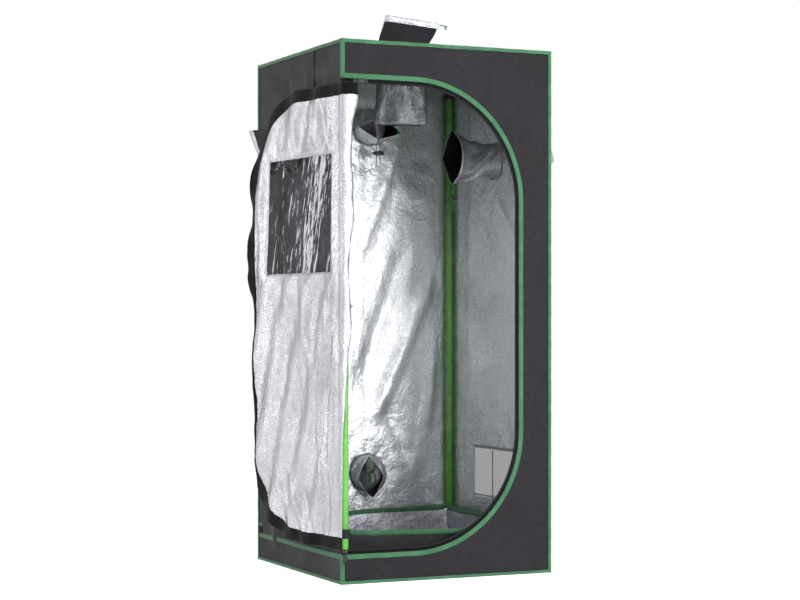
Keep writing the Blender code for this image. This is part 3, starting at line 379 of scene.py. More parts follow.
def oxford_look(name, dark, light, pitch=0.0012, shine=0.24):
    """Coated black cloth: a fine weave, faint blotches and a soft sheen."""
    look, tree, shader, place = start_look(
        name, Roughness=0.62, Specular_IOR_Level=shine, Sheen_Weight=0.06
    )
    blotch = cloud(tree, place, 7.0, 4.0, 0.6)
    threads = weave(tree, place, pitch)
    shade = maths(
        tree, "ADD", fit(tree, blotch, 0.3, 0.7, 0.0, 0.7), fit(tree, threads, -1.0, 1.0, -0.12, 0.3)
    )
    slack = bumped(tree, cloud(tree, place, 26.0, 4.0, 0.55), 0.0030, strength=0.7)
    wire(
        tree, shader, Base_Color=mixed(tree, shade, rgb(*dark), rgb(*light)),
        Roughness=fit(tree, cloud(tree, place, 14.0), 0.3, 0.7, 0.54, 0.70),
        Normal=bumped(tree, threads, 0.00012, slack),
    )
    return look


def silver_look(name, tone, rough=(0.28, 0.42), crinkle=0.0016, grain=0.00045, worn=0.93):
    """Embossed metallised film: a pebbled grain, fine crinkles, patches that are duller, and small spots
    of painted shade for the grain's hollows.
    """
    look, tree, shader, place = start_look(name, Metallic=0.92)
    dull = cloud(tree, place, 5.0, 4.0, 0.55)
    tint = mixed(tree, fit(tree, dull, 0.35, 0.65, 0.0, 1.0), rgb(*tone), shaded(tone, worn))
    # Painted shade: small random spots of the silver made darker, standing in for the shade in the
    # grain's hollows
    painted_hollow_shade = fit(tree, cloud(tree, place, 300.0, 2.0, 0.7), 0.42, 0.64, 0.0, 0.8)
    folds = bumped(tree, cloud(tree, place, 17.0, 5.0, 0.62, 0.6), crinkle * 3, strength=0.8)
    creased = bumped(tree, cloud(tree, place, 60.0, 4.0, 0.6, 0.4), crinkle, folds)
    pebbles = add(
        tree, "TexVoronoi", {"Vector": place, "Scale": 430.0}, feature="SMOOTH_F1"
    ).outputs["Distance"]
    wire(
        tree, shader, Base_Color=mixed(tree, painted_hollow_shade, tint, shaded(tone, 0.70)),
        Roughness=fit(tree, dull, 0.32, 0.68, *rough), Normal=bumped(tree, pebbles, grain, creased),
    )
    return look


def trim_look(name, dark, light):
    """Woven green tape: fine ribs, with a paler worn face."""
    look, tree, shader, place = start_look(name, Roughness=0.55, Sheen_Weight=0.15)
    ribs = weave(tree, place, 0.0016)
    worn = cloud(tree, place, 22.0, 4.0, 0.65)
    shade = maths(
        tree, "ADD", fit(tree, worn, 0.3, 0.7, 0.0, 0.85), fit(tree, ribs, -1.0, 1.0, -0.15, 0.25)
    )
    relief = bumped(tree, ribs, 0.00022, bumped(tree, worn, 0.0012))
    wire(tree, shader, Base_Color=mixed(tree, shade, rgb(*dark), rgb(*light)), Normal=relief)
    return look


def paint_look(name, colour, dark):
    """Gloss paint on steel tube, with faint drips and scuffs."""
    look, tree, shader, place = start_look(name, Roughness=0.3, Coat_Weight=0.35, Coat_Roughness=0.12)
    scuff = cloud(tree, place, 30.0, 6.0, 0.7)
    wire(
        tree, shader,
        Base_Color=mixed(tree, fit(tree, scuff, 0.40, 0.72, 0.0, 1.0), rgb(*colour), rgb(*dark)),
        Roughness=fit(tree, scuff, 0.35, 0.7, 0.24, 0.45),
        Normal=bumped(tree, cloud(tree, place, 180.0), 0.00008),
    )
    return look


def plastic_look(name, colour):
    """Moulded plastic with a fine spark-eroded grain."""
    look, tree, shader, place = start_look(name)
    patch = cloud(tree, place, 40.0)
    lighter = [value * 1.5 + 6 for value in colour]
    wire(
        tree, shader,
        Base_Color=mixed(tree, fit(tree, patch, 0.3, 0.7, 0.0, 0.6), rgb(*colour), rgb(*lighter)),
        Roughness=fit(tree, patch, 0.3, 0.7, 0.34, 0.52),
        Normal=bumped(tree, cloud(tree, place, 900.0, 2.0), 0.0001),
    )
    return look


def metal_look(name, colour):
    """Stamped zinc alloy with brushed scratches."""
    look, tree, shader, place = start_look(name, Metallic=1.0)
    scratch = cloud(tree, place, 260.0, 5.0, 0.7)
    wire(
        tree, shader, Base_Color=mixed(tree, scratch, rgb(*colour), shaded(colour, 0.7)),
        Roughness=fit(tree, scratch, 0.3, 0.7, 0.48, 0.62), Normal=bumped(tree, scratch, 0.0001),
    )
    return look


def film_look(name):
    """Clear soft film, with white highlights painted along its sharpest creases for the lamps'
    reflections there; they run down it and fan out.
    """
    look, tree, shader, place = start_look(name, IOR=1.06)
    axes = add(tree, "SeparateXYZ", {0: place})
    height = maths(tree, "SUBTRACT", 1.10, axes.outputs[2])
    fan = maths(tree, "MULTIPLY", height, 0.27)
    across = maths(tree, "SUBTRACT", maths(tree, "ADD", axes.outputs[1], 0.200), fan)
    squared = maths(tree, "POWER", maths(tree, "ABSOLUTE", across), 2.0)
    near = maths(tree, "EXPONENT", maths(tree, "MULTIPLY", squared, -420.0))
    long = add(tree, "CombineXYZ", {"X": across, "Y": maths(tree, "MULTIPLY", height, 0.13)}).outputs[0]
    gathered = maths(tree, "MULTIPLY", near, 0.125)
    crests = maths(tree, "ADD", cloud(tree, long, 95.0, 5.0, 0.72, 0.5), gathered)
    # Painted highlight: where this mask is high the film turns opaque, near-white and rougher, standing
    # in for the lamps' reflection in its creases
    painted_highlight = fit(tree, crests, 0.600, 0.640, 0.0, 0.95)
    haze = cloud(tree, place, 16.0, 4.0, 0.6)
    clear = mixed(tree, haze, rgb(250, 251, 252), rgb(238, 240, 243))
    rough = fit(tree, haze, 0.45, 0.75, 0.015, 0.06)
    fine = bumped(tree, cloud(tree, place, 90.0, 4.0, 0.6, 1.0), 0.0011)
    wire(
        tree, shader, Base_Color=mixed(tree, painted_highlight, clear, rgb(252, 252, 255)),
        Transmission_Weight=fit(tree, painted_highlight, 0.0, 1.0, 1.0, 0.05),
        Roughness=maths(tree, "ADD", rough, maths(tree, "MULTIPLY", painted_highlight, 0.2)),
        Normal=bumped(tree, cloud(tree, place, 24.0, 3.0, 0.55, 0.8), 0.0040, fine),
    )
    return look


MESH_PITCH = 0.0016


def mesh_look(name):
    """Fine open mesh: pale threads with holes between them."""
    look, tree, shader, place = start_look(name, Roughness=0.7)
    axes = add(tree, "SeparateXYZ", {0: place})
    turns = 2 * pi / MESH_PITCH
    waves = [maths(tree, "SINE", maths(tree, "MULTIPLY", axes.outputs[i], turns)) for i in (1, 2)]
    holes = maths(tree, "MINIMUM", *waves)
    wire(
        tree, shader, Alpha=fit(tree, holes, -0.35, 0.15, 1.0, 0.30),
        Base_Color=mixed(tree, cloud(tree, place, 12.0), rgb(196, 197, 194), rgb(170, 172, 170)),
        Normal=bumped(tree, holes, 0.0002),
    )
    return look


def thread_look(name, colour):
    """Sewing thread or cord: strands laid at an angle."""
    look, tree, shader, place = start_look(name, Roughness=0.6, Sheen_Weight=0.2)
    strands = add(
        tree, "TexWave", {"Vector": place, "Scale": 260.0, "Distortion": 1.5}, bands_direction="DIAGONAL"
    )
    lay = strands.outputs["Fac"]
    tone = mixed(tree, lay, shaded(colour, 0.72), rgb(*colour))
    wire(tree, shader, Base_Color=tone, Normal=bumped(tree, lay, 0.0002))
    return look


BLACK = oxford_look("black_oxford", (25, 24, 28), (42, 41, 47))
BLACK_HEM = oxford_look("black_hem", (10, 10, 11), (20, 20, 22), 0.0010, 0.08)
SILVER = silver_look("silver_lining", (226, 228, 232))
SILVER_DOOR = silver_look("silver_door", (216, 216, 221), (0.19, 0.34), 0.0024, 0.00040, 0.86)
SILVER_SOFT = silver_look("silver_sleeve", (206, 208, 212), (0.30, 0.44), 0.0030)
# A much darker copy of the sleeve silver with shade painted into it, for the inside of the roof sleeve,
# which hangs in shadow
SILVER_SLEEVE_PAINTED_SHADE = silver_look("silver_roof_sleeve_painted_shade", (138, 140, 144), (0.40, 0.54), 0.0022)
# A paler copy of the silver lining with light painted into it, for the inside of the right wall, which
# gets less light
SILVER_RIGHT_PAINTED_LIGHT = silver_look("silver_right_lining_painted_light", (244, 246, 250), (0.30, 0.46), 0.0022)
GREEN = trim_look("green_binding", (46, 110, 70), (80, 150, 102))
GREEN_DARK = trim_look("green_tray_binding", (34, 88, 54), (58, 122, 76))
LIME = paint_look("green_paint", (112, 200, 78), (84, 168, 58))
# The same green paint with shade painted into it, for the rear posts, which stand in the tent's shade
LIME_PAINTED_SHADE = paint_look("green_paint_rear_painted_shade", (84, 154, 58), (62, 124, 44))
PLASTIC = plastic_look("black_plastic", (20, 20, 21))
METAL = metal_look("pull_metal", (66, 67, 70))
FILM = film_look("clear_film")
MESH = mesh_look("grey_mesh")
CORD = thread_look("green_cord", (52, 140, 74))
WEBBING = oxford_look("black_webbing", (18, 18, 20), (34, 34, 37), 0.0018)
STITCH = thread_look("black_thread", (26, 26, 28))
WHITE_STITCH = thread_look("grey_thread", (170, 170, 174))


def ticks(low, high, stops, step):
    """Grid lines from low to high that also fall on every stop."""
    marks = sorted({low, high, *stops})
    lines = []
    for a, b in zip(marks, marks[1:]):
        count = max(1, round((b - a) / step))
        lines += [a + (b - a) * i / count for i in range(count)]
    return [*lines, high]


def faced(vertices, faces, outward):
    """The same cloth with its first face, and so all of them, turned outward."""
    a, b, c = (Vector(vertices[corner]) for corner in faces[0][:3])
    if (b - a).cross(c - b).dot(Vector(outward)) < 0:
        faces = [tuple(reversed(face)) for face in faces]
    return vertices, faces


def wall_part(low, high, place, outward, ports=(), holes=(), step=0.010):
    """A flat cloth with round ports and square holes; place(a, b) gives each point."""
    stops = [[low[k], high[k]] for k in (0, 1)]
    for port in ports:
        for k in (0, 1):
            stops[k] += [port[k] - PORT_PATCH, port[k] + PORT_PATCH]
    for left, bottom, right, top in holes:
        stops[0] += [left, right]
        stops[1] += [bottom, top]
    across = ticks(low[0], high[0], stops[0], step)
    up = ticks(low[1], high[1], stops[1], step)
    vertices = []
    index = {}

    def corner(i, j):
        if (i, j) not in index:
            index[i, j] = len(vertices)
            vertices.append(place(across[i], up[j]))
        return index[i, j]

    faces = []
    for i in range(len(across) - 1):
        for j in range(len(up) - 1):
            a = (across[i] + across[i + 1]) / 2
            b = (up[j] + up[j + 1]) / 2
            if any(max(abs(a - p[0]), abs(b - p[1])) < PORT_PATCH for p in ports):
                continue
            if any(h[0] < a < h[2] and h[1] < b < h[3] for h in holes):
                continue
            faces.append((corner(i, j), corner(i + 1, j), corner(i + 1, j + 1), corner(i, j + 1)))
    for port in ports:
        i0, i1 = (across.index(port[0] + sign * PORT_PATCH) for sign in (-1, 1))
        j0, j1 = (up.index(port[1] + sign * PORT_PATCH) for sign in (-1, 1))
        loop = [(i, j0) for i in range(i0, i1)] + [(i1, j) for j in range(j0, j1)]
        loop += [(i, j1) for i in range(i1, i0, -1)] + [(i0, j) for j in range(j1, j0, -1)]
        rows = [[corner(i, j) for i, j in loop]]
        for ring in range(1, 5):
            row = []
            for i, j in loop:
                a = across[i] - port[0]
                b = up[j] - port[1]
                share = 1 - ring / 4 * (1 - (PORT_RADIUS + 0.0003) / hypot(a, b))
                row.append(len(vertices))
                vertices.append(place(port[0] + a * share, port[1] + b * share))
            rows.append(row)
        for first, second in zip(rows, rows[1:]):
            for k in range(len(loop)):
                n = (k + 1) % len(loop)
                faces.append((first[k], first[n], second[n], second[k]))
    return faced(vertices, faces, outward)


def calm(a, b, ports):
    """0 at the wall's edges, where the frame is, and beside its ports; 1 in the open cloth."""
    share = ramp(HALF - abs(a) - 0.022, 0.060) * ramp(min(b, HEIGHT - b) - 0.030, 0.060)
    for port in ports:
        share *= 0.15 + 0.85 * ramp(hypot(a - port[0], b - port[1]) - PORT_RADIUS, 0.050)
    return share


def pucker(a, b, ports):
    """Small gathers that run out from a port's seam."""
    total = 0.0
    for number, port in enumerate(ports):
        off = hypot(a - port[0], b - port[1]) - PORT_RADIUS
        if off < 0.09:
            angle = atan2(b - port[1], a - port[0])
            wave = sin(13 * angle + number) + 0.7 * sin(7 * angle + 1.3 * number)
            total += 0.0011 * wave * ramp(off, 0.012) * exp(-off / 0.030)
    return total


def packed_folds(a, b):
    """The creases that folding for the box leaves: one upright in the middle and some across."""
    total = -0.0016 * exp(-abs(a) / 0.005)
    for height in (0.29, 0.57, 0.85, 1.13):
        total += 0.0012 * exp(-abs(b - height - 0.006 * sin(9 * a)) / 0.006)
    return total


def rumple(a, b, seed, large, small):
    """Creases of two sizes."""
    return large * (creases(a, b, 0.17, seed) - 0.35) + small * (creases(a, b, 0.055, seed + 3) - 0.35)


# Upright waves of the side walls: where, how high and how wide
LEFT_WAVES = (
    (0.165, 0.0050, 0.020), (0.085, -0.0040, 0.018), (-0.060, 0.0035, 0.022), (-0.19, 0.003, 0.02)
)
RIGHT_WAVES = (
    (0.17, -0.0050, 0.030), (0.06, 0.0035, 0.020), (-0.10, -0.0040, 0.035), (-0.20, 0.003, 0.02)
)

# Slanting folds: start, end, half width and height
RIGHT_RIDGES = (
    ((-0.02, 1.00), (-0.15, 0.86), 0.010, -0.005),
    ((0.10, 0.98), (-0.02, 0.86), 0.012, 0.005),
)
REAR_RIDGES = (
    ((0.215, 0.76), (0.075, 0.44), 0.022, -0.0120),
    ((0.145, 0.88), (0.020, 0.52), 0.026, 0.0090),
    ((0.120, 1.17), (0.020, 0.90), 0.022, -0.0080),
    ((0.250, 0.60), (0.190, 0.26), 0.020, -0.0060),
    ((0.090, 0.42), (0.150, 0.28), 0.014, 0.0050),
    ((-0.060, 1.05), (-0.110, 0.50), 0.030, -0.0090),
    ((-0.180, 0.85), (-0.120, 0.30), 0.026, 0.0070),
    ((-0.200, 1.20), (-0.080, 1.02), 0.020, -0.0060),
)
FRONT_RIDGES = (
    ((0.20, 1.30), (0.27, 1.12), 0.012, 0.0018),
    ((0.10, 1.36), (0.24, 1.28), 0.012, -0.0015),
    ((0.16, 0.12), (0.27, 0.24), 0.016, 0.0020),
)


def left_lift(y, z):
    """How far the left wall's cloth stands out; the lifts after it do the same for their panels."""
    lift = rumple(y, z, 2.1, 0.004, 0.0012) + packed_folds(y - 0.026, z)
    for at, height, width in LEFT_WAVES:
        swell = 0.55 + 0.45 * sin(3.1 * z + at * 40)
        lift += height * hump(y - at - 0.012 * sin(4 * z), width) * swell
    return lift * calm(y, z, [SIDE_PORT]) + pucker(y, z, [SIDE_PORT])


def right_lift(y, z):
    lift = rumple(y, z, 5.7, 0.0045, 0.0010) + 1.4 * packed_folds(y - 0.002, z)
    for at, height, width in RIGHT_WAVES:
        swell = 0.6 + 0.4 * sin(2.3 * z + at * 30)
        lift += height * hump(y - at - 0.010 * sin(3 * z + 1), width) * swell
    lift += ridges(y, z, RIGHT_RIDGES)
    beside = max(VENT[0] - y, y - VENT[2], VENT[1] - z, z - VENT[3])
    lift *= 0.1 + 0.9 * ramp(beside, 0.045)
    behind_flap = max(abs(y) - 0.162, z - 0.185)
    lift = min(lift, 0.0010 + 0.012 * ramp(behind_flap, 0.030))
    return lift * calm(y, z, [SIDE_PORT]) + pucker(y, z, [SIDE_PORT])


def rear_lift(x, z):
    lift = rumple(x, z, 9.4, 0.005, 0.0018) + packed_folds(x - 0.01, z)
    lift -= 0.013 * hump(x - 0.185, 0.100) * (0.5 + 0.5 * ramp(z - 0.15, 0.3))
    lift += ridges(x, z, REAR_RIDGES)
    ports = [REAR_HIGH_PORT, REAR_LOW_PORT]
    return lift * calm(x, z, ports) + pucker(x, z, ports)


def front_lift(x, z):
    lift = rumple(x, z, 12.6, 0.0022, 0.0008) + 0.5 * packed_folds(x, z) + ridges(x, z, FRONT_RIDGES)
    return max(lift, -0.0004) * ramp(HALF - abs(x), 0.03) * ramp(min(z, HEIGHT - z), 0.03)


def roof_lift(x, y):
    lift = rumple(x, y, 15.2, 0.004, 0.0012) - 0.006 * exp(-((x * x + y * y) / 0.03))
    edge = ramp(HALF - max(abs(x), abs(y)) - 0.022, 0.06)
    off = hypot(x, y) - PORT_RADIUS
    return lift * edge * (0.15 + 0.85 * ramp(off, 0.04)) + pucker(x, y, [(0, 0)])


def door_path(step=0.008):
    """The doorway's edge from the foot of the hinge round to its head, with the way into the opening."""
    centre = DOOR_RIGHT - DOOR_RADIUS
    low = DOOR_LOW + DOOR_RADIUS
    high = DOOR_HIGH - DOOR_RADIUS
    angles = [pi / 2 * i / ARC_STEPS for i in range(ARC_STEPS)]
    turns = [(sin(angle), cos(angle)) for angle in angles]
    path = [((x, DOOR_LOW), (0, 1)) for x in ticks(-HALF, centre, (), step)[:-1]]
    path += [((centre + DOOR_RADIUS * s, low - DOOR_RADIUS * c), (-s, c)) for s, c in turns]
    path += [((DOOR_RIGHT, z), (-1, 0)) for z in ticks(low, high, (), step)[:-1]]
    path += [((centre + DOOR_RADIUS * c, high + DOOR_RADIUS * s), (-c, -s)) for s, c in turns]
    path += [((x, DOOR_HIGH), (0, -1)) for x in reversed(ticks(-HALF, centre, (), step))]
    return path


def on_front(point, way, distance, out=0.0):
    """A point on or off the front panel, a distance in from the doorway's edge."""
    return point[0] + way[0] * distance, -HALF - out, point[1] + way[1] * distance


def front_part():
    """The front panel, from the doorway's edge out to the cover's edges."""
    rows = []
    inner_path = door_path()
    outer = [(-HALF, SEAM), (HALF, SEAM), (HALF, HEIGHT - SEAM), (-HALF, HEIGHT - SEAM)]
    lengths = [2 * HALF, HEIGHT - 2 * SEAM, 2 * HALF]
    for number, (point, way) in enumerate(inner_path):
        travel = number / (len(inner_path) - 1) * sum(lengths)
        side = 0
        while side < 2 and travel > lengths[side]:
            travel -= lengths[side]
            side += 1
        share = min(travel / lengths[side], 1)
        edge = [a + (b - a) * share for a, b in zip(outer[side], outer[side + 1])]
        x, _, z = on_front(point, way, BAND)
        row = []
        for step in range(13):
            a = x + (edge[0] - x) * step / 12
            b = z + (edge[1] - z) * step / 12
            row.append((a, -HALF - front_lift(a, b) * ramp(step, 2), b))
        rows.append(row)
    return faced(*grid(rows), (0, -1, 0))


def make_cover():
    """Six panels, black outside and silver inside."""
    tall = HEIGHT - 2 * SEAM
    wall = ((-HALF, SEAM), (HALF, HEIGHT - SEAM))
    square = ((-HALF, -HALF), (HALF, HALF))
    left = wall_part(*wall, lambda y, z: (-HALF - left_lift(y, z), y, z), (-1, 0, 0), [SIDE_PORT])
    right = wall_part(*wall, lambda y, z: (HALF + right_lift(y, z), y, z), (1, 0, 0), [SIDE_PORT], [VENT])
    rear_ports = [REAR_HIGH_PORT, REAR_LOW_PORT]
    rear = wall_part(*wall, lambda x, z: (x, HALF + rear_lift(x, z), z), (0, 1, 0), rear_ports)
    roof = wall_part(*square, lambda x, y: (x, y, HEIGHT + roof_lift(x, y)), (0, 0, 1), [(0.0, 0.0)])
    floor = wall_part(*square, lambda x, y: (x, y, 0.0), (0, 0, -1), step=0.03)
    vent_area = (VENT[2] - VENT[0]) * (VENT[3] - VENT[1])
    panels = (
        ("left", left, SILVER, tall, None),
        # The right wall's lining has painted light
        ("right", right, SILVER_RIGHT_PAINTED_LIGHT, tall, 2 * HALF * tall - vent_area),
        ("rear", rear, SILVER, tall, None),
        ("roof", roof, SILVER, 2 * HALF, None),
        ("floor", floor, SILVER, 2 * HALF, None),
        ("front", front_part(), SILVER, HEIGHT, FRONT_AREA),
    )
    for name, part, lining, length, area in panels:
        made = piece(f"cover_{name}", *part, [BLACK, lining], "tent", "black_cloth", [f"panel_{name}"])
        thicken(made, looks=(1, 0))


PIPING_SECTION = (
    (0.0010, -0.0080), (0.0017, -0.0072), (0.0019, -0.0035), (0.0017, 0.0001), (0.0010, 0.0010),
    (0.0001, 0.0017), (-0.0035, 0.0019), (-0.0072, 0.0017), (-0.0080, 0.0010), (-0.0078, 0.0002),
    (0.0002, 0.0002), (0.0002, -0.0078),
)
FOOT_SECTION = (
    (0.0002, 0.0), (0.0015, 0.0), (0.0019, 0.0010), (0.0019, 0.0040), (0.0017, 0.0072),
    (0.0010, 0.0080), (0.0002, 0.0078),
)
BAND_SECTION = (
    (0.0, 0.0003), (0.0005, 0.0013), (0.0032, 0.0018), (0.0065, 0.0016), (0.0098, 0.0018),
    (0.0125, 0.0013), (0.0130, 0.0003), (0.0120, 0.0001), (0.0010, 0.0001),
)


def piping_run(start, end, first, second, section, seed):
    """One straight run of piping, a little uneven as sewn tape is."""
    start = Vector(start)
    end = Vector(end)
    most = 0 if section is FOOT_SECTION else 0.0005
    count = max(4, round((end - start).length / 0.010))
    path = []
    for i in range(count + 1):
        wander = most * noise.noise(Vector((i * 0.35, seed, 0.0))) * ramp(min(i, count - i), 4)
        shift = (Vector(first) + Vector(second)) * wander
        path.append((start.lerp(end, i / count) + shift, first, second))
    return sweep(path, section)


def stitch_row(points, outward, length=0.0028, gap=0.0014, radius=0.00028):
    """A row of raised stitches along a line of points, standing on a cloth that faces outward."""
    outward = Vector(outward)
    parts = []
    left = 0.0
    for a, b in zip(points, points[1:]):
        a = Vector(a)
        b = Vector(b)
        span = (b - a).length
        if span < 1e-6:
            continue
        way = (b - a) / span
        side = way.cross(outward).normalized()
        while left + length < span:
            start = a + way * left
            end = start + way * length
            lift = outward * radius
            ring = [side * radius, lift, -side * radius]
            middle = (start + end) / 2 + lift * 0.8
            rows = [[start + corner * 0.4 for corner in ring], [middle + corner for corner in ring]]
            rows.append([end + corner * 0.4 for corner in ring])
            parts.append(grid(rows))
            left += length + gap
        left = max(left - span, 0.0)
    return merge(*parts)


def make_binding():
    """Green piping on the cover's edges and the band round the doorway, with its run on the left wall."""
    x = y = HALF
    top = HEIGHT
    up = (0, 0, 1)
    edge_foot = DOOR_LOW + BAND
    runs = [
        ((x, -y, 0), (x, -y, top), (1, 0, 0), (0, -1, 0)),
        ((x, y, 0), (x, y, top), (1, 0, 0), (0, 1, 0)),
        ((-x, y, 0), (-x, y, top), (-1, 0, 0), (0, 1, 0)),
        ((-x, -y, 0), (-x, -y, edge_foot), (-1, 0, 0), (0, -1, 0)),
        ((-x, -y, DOOR_HIGH - BAND), (-x, -y, top), (-1, 0, 0), (0, -1, 0)),
        ((-x, -y, top), (x, -y, top), (0, -1, 0), up),
        ((-x, y, top), (x, y, top), (0, 1, 0), up),
        ((-x, -y, top), (-x, y, top), (-1, 0, 0), up),
        ((x, -y, top), (x, y, top), (1, 0, 0), up),
    ]
    parts = [piping_run(*run, PIPING_SECTION, 3.1 * n) for n, run in enumerate(runs)]
    feet = [
        ((-x, -y, 0), (x, -y, 0), (0, -1, 0)),
        ((-x, y, 0), (x, y, 0), (0, 1, 0)),
        ((-x, -y, 0), (-x, y, 0), (-1, 0, 0)),
        ((x, -y, 0), (x, y, 0), (1, 0, 0)),
    ]
    parts += [piping_run(start, end, out, up, FOOT_SECTION, 0.0) for start, end, out in feet]
    piece("green_piping", *merge(*parts), GREEN, "tent", "green_trim", ["green_binding"])
    path = []
    for number, (point, way) in enumerate(door_path()):
        wander = 0.0004 * noise.noise(Vector((number * 0.21, 8.0, 0.0)))
        path.append((on_front(point, way, wander), (way[0], 0, way[1]), (0, -1, 0)))
    band = sweep(path, BAND_SECTION)
    side = []
    for y in ticks(-HALF, HALF - 0.008, (), 0.01):
        side.append(((-HALF, y, DOOR_LOW + 0.0006 * sin(15 * y)), (0, 0, 1), (-1, 0, 0)))
    piece(
        "doorway_binding", *merge(band, sweep(side, BAND_SECTION)), GREEN, "tent", "green_trim",
        ["green_binding"],
    )
    rows = []
    for depth in (0.0022, 0.0108):
        rows.append(stitch_row([on_front(*edge, depth, 0.0016) for edge in door_path()], (0, -1, 0)))
    piece(
        "binding_stitches", *merge(*rows), thread_look("green_thread", (60, 140, 84)), "tent",
        "green_trim",
    )


def make_zip_tape():
    """The cover's half of the zip: a tape with a coil of teeth along its free edge."""
    section = (
        (0.0, 0.0), (0.0006, 0.0009), (0.0050, 0.0010), (0.0095, 0.0008), (0.0117, 0.0006),
        (0.0117, -0.0004), (0.0, -0.0004),
    )
    path = []
    for point, way in door_path():
        path.append((on_front(point, way, BAND + 0.0003, -0.0006), (way[0], 0, way[1]), (0, -1, 0)))
    tape = sweep(path, section)
    piece("doorway_zip_tape", *tape, BLACK_HEM, "tent", "black_cloth", ["zip_tape"])
    path = [(on_front(point, way, 0), (way[0], 0, way[1])) for point, way in door_path(0.004)]
    teeth = zip_teeth(path, BAND + 0.0088, (0, -1, 0))
    piece("doorway_zip_teeth", *teeth, PLASTIC, "tent", "black_plastic")


TOOTH_FACES = [(4, 5, 6, 7), (0, 4, 7, 3), (1, 2, 6, 5), (2, 3, 7, 6), (0, 1, 5, 4), (3, 2, 1, 0)]


def zip_teeth(path, depth, outward):
    """Small teeth across a zip's edge, evenly along a path of (point, way in)."""
    parts = []
    left = 0.0
    outward = Vector(outward)
    for (a, way), (b, _) in zip(path, path[1:]):
        way = Vector(way)
        a = Vector(a) + way * depth
        b = Vector(b) + way * depth
        span = (b - a).length
        if span < 1e-6:
            continue
        run = (b - a) / span
        while left < span:
            foot = a + run * left + outward * 0.0004
            half = run * 0.0006
            low = [foot - half, foot + half, foot + half + way * 0.0030, foot - half + way * 0.0030]
            high = [corner + outward * 0.0009 for corner in low]
            parts.append((low + high, TOOTH_FACES))
            left += TOOTH_PITCH
        left -= span
    return merge(*parts)


make_camera()
make_cover()
make_binding()
make_zip_tape()


# A sleeve's stations run from its outer mouth to its inner one, as in the CAD model: how far out, up and
# sideways, the turn of the wide axis, half the width and thickness, how pointed it is, and its gathers.
ROOF_TURN = -24.5
COLLAR = 0.006
SLEEVES = {
    "roof": (
        (0, 0, 1.3995), (0, 0, 1), (0, 1, 0), 0.110, 0.182, -0.17,
        (
            (1.00, -0.125, 0.27, ROOF_TURN, 1.50, 0.14, 1.0, 0.00),
            (0.72, -0.080, 0.17, ROOF_TURN, 1.46, 0.20, 1.0, 0.02),
            (0.36, -0.025, 0.05, ROOF_TURN, 1.28, 0.55, 1.0, 0.02),
            (0.00, 0.000, 0.00, 0.0, 1.00, 1.00, 1.0, 0.00),
            (-0.25, 0.000, 0.00, ROOF_TURN, 1.24, 0.80, 1.0, 0.03),
            (-0.60, 0.010, 0.01, ROOF_TURN, 1.38, 0.46, 1.0, 0.05),
            (-1.00, 0.020, 0.00, ROOF_TURN, 1.41, 0.26, 1.1, 0.06),
        ),
    ),
    "right": (
        (0.3045, 0.025, 1.13), (1, 0, 0), (0, 0, 1), 0.178, 0.137, 0.0,
        (
            (1.00, 0.125, 0.00, 40.0, 0.60, 0.34, 1.3, 0.00),
            (0.80, 0.110, 0.00, 40.0, 1.00, 0.50, 1.0, 0.05),
            (0.40, 0.040, 0.00, 30.0, 1.15, 0.80, 1.0, 0.05),
            (0.00, 0.000, 0.00, 0.0, 1.00, 1.00, 1.0, 0.00),
            (-0.30, 0.010, -0.01, 30.0, 1.00, 0.92, 1.0, 0.04),
            (-0.65, 0.020, -0.07, 70.0, 1.25, 0.80, 1.1, 0.08),
            (-1.06, 0.030, -0.21, 88.0, 1.48, 0.90, 1.4, 0.04),
        ),
    ),
    "left": (
        (-0.3045, 0.025, 1.13), (-1, 0, 0), (0, 0, 1), 0.110, 0.105, 0.20,
        (
            (0.43, 0.090, -1.36, 118.0, 1.50, 0.20, 1.0, 0.00),
            (0.31, 0.110, -0.80, 114.0, 1.36, 0.20, 1.0, 0.02),
            (0.21, 0.060, -0.28, 105.0, 1.15, 0.26, 1.0, 0.02),
            (0.00, 0.000, 0.00, 0.0, 1.00, 1.00, 1.0, 0.00),
            (-0.40, -0.060, 0.00, 0.0, 1.10, 0.75, 1.0, 0.04),
            (-0.80, -0.260, 0.00, 0.0, 1.25, 0.45, 1.0, 0.05),
            (-1.00, -0.440, 0.00, 0.0, 1.38, 0.24, 1.0, 0.03),
        ),
    ),
    "rear_upper": (
        (0.040, 0.3045, 1.240), (0, 1, 0), (0, 0, 1), 0.095, 0.098, 0.0,
        (
            (0.95, -0.900, 0.00, 0.0, 1.42, 0.20, 1.0, 0.00),
            (0.75, -0.450, 0.00, 0.0, 1.35, 0.40, 1.0, 0.04),
            (0.40, -0.100, 0.00, 0.0, 1.12, 0.80, 1.0, 0.04),
            (0.00, 0.000, 0.00, 0.0, 1.00, 1.00, 1.0, 0.00),
            (-0.35, 0.020, 0.00, 10.0, 1.02, 0.94, 1.0, 0.03),
            (-0.62, -0.040, 0.01, 8.0, 1.14, 0.80, 1.1, 0.07),
            (-0.90, -0.140, 0.06, 6.0, 1.30, 0.56, 1.6, 0.02),
        ),
    ),
    "rear_lower": (
        (0.030, 0.3045, 0.236), (0, 1, 0), (0, 0, 1), 0.095, 0.044, 0.0,
        (
            (0.95, -0.900, 0.00, 0.0, 1.42, 0.20, 1.0, 0.00),
            (0.75, -0.450, 0.00, 0.0, 1.35, 0.40, 1.0, 0.04),
            (0.40, -0.100, 0.00, 0.0, 1.12, 0.80, 1.0, 0.04),
            (0.00, 0.000, 0.00, 0.0, 1.00, 1.00, 1.0, 0.00),
            (-0.45, -0.050, 0.00, 30.0, 1.02, 0.98, 1.0, 0.03),
            (-0.75, -0.150, 0.05, 70.0, 1.10, 0.86, 1.2, 0.04),
            (-1.00, -0.260, 0.12, 84.0, 1.18, 0.74, 1.6, 0.00),
        ),
    ),
}
MOUTHS = {}


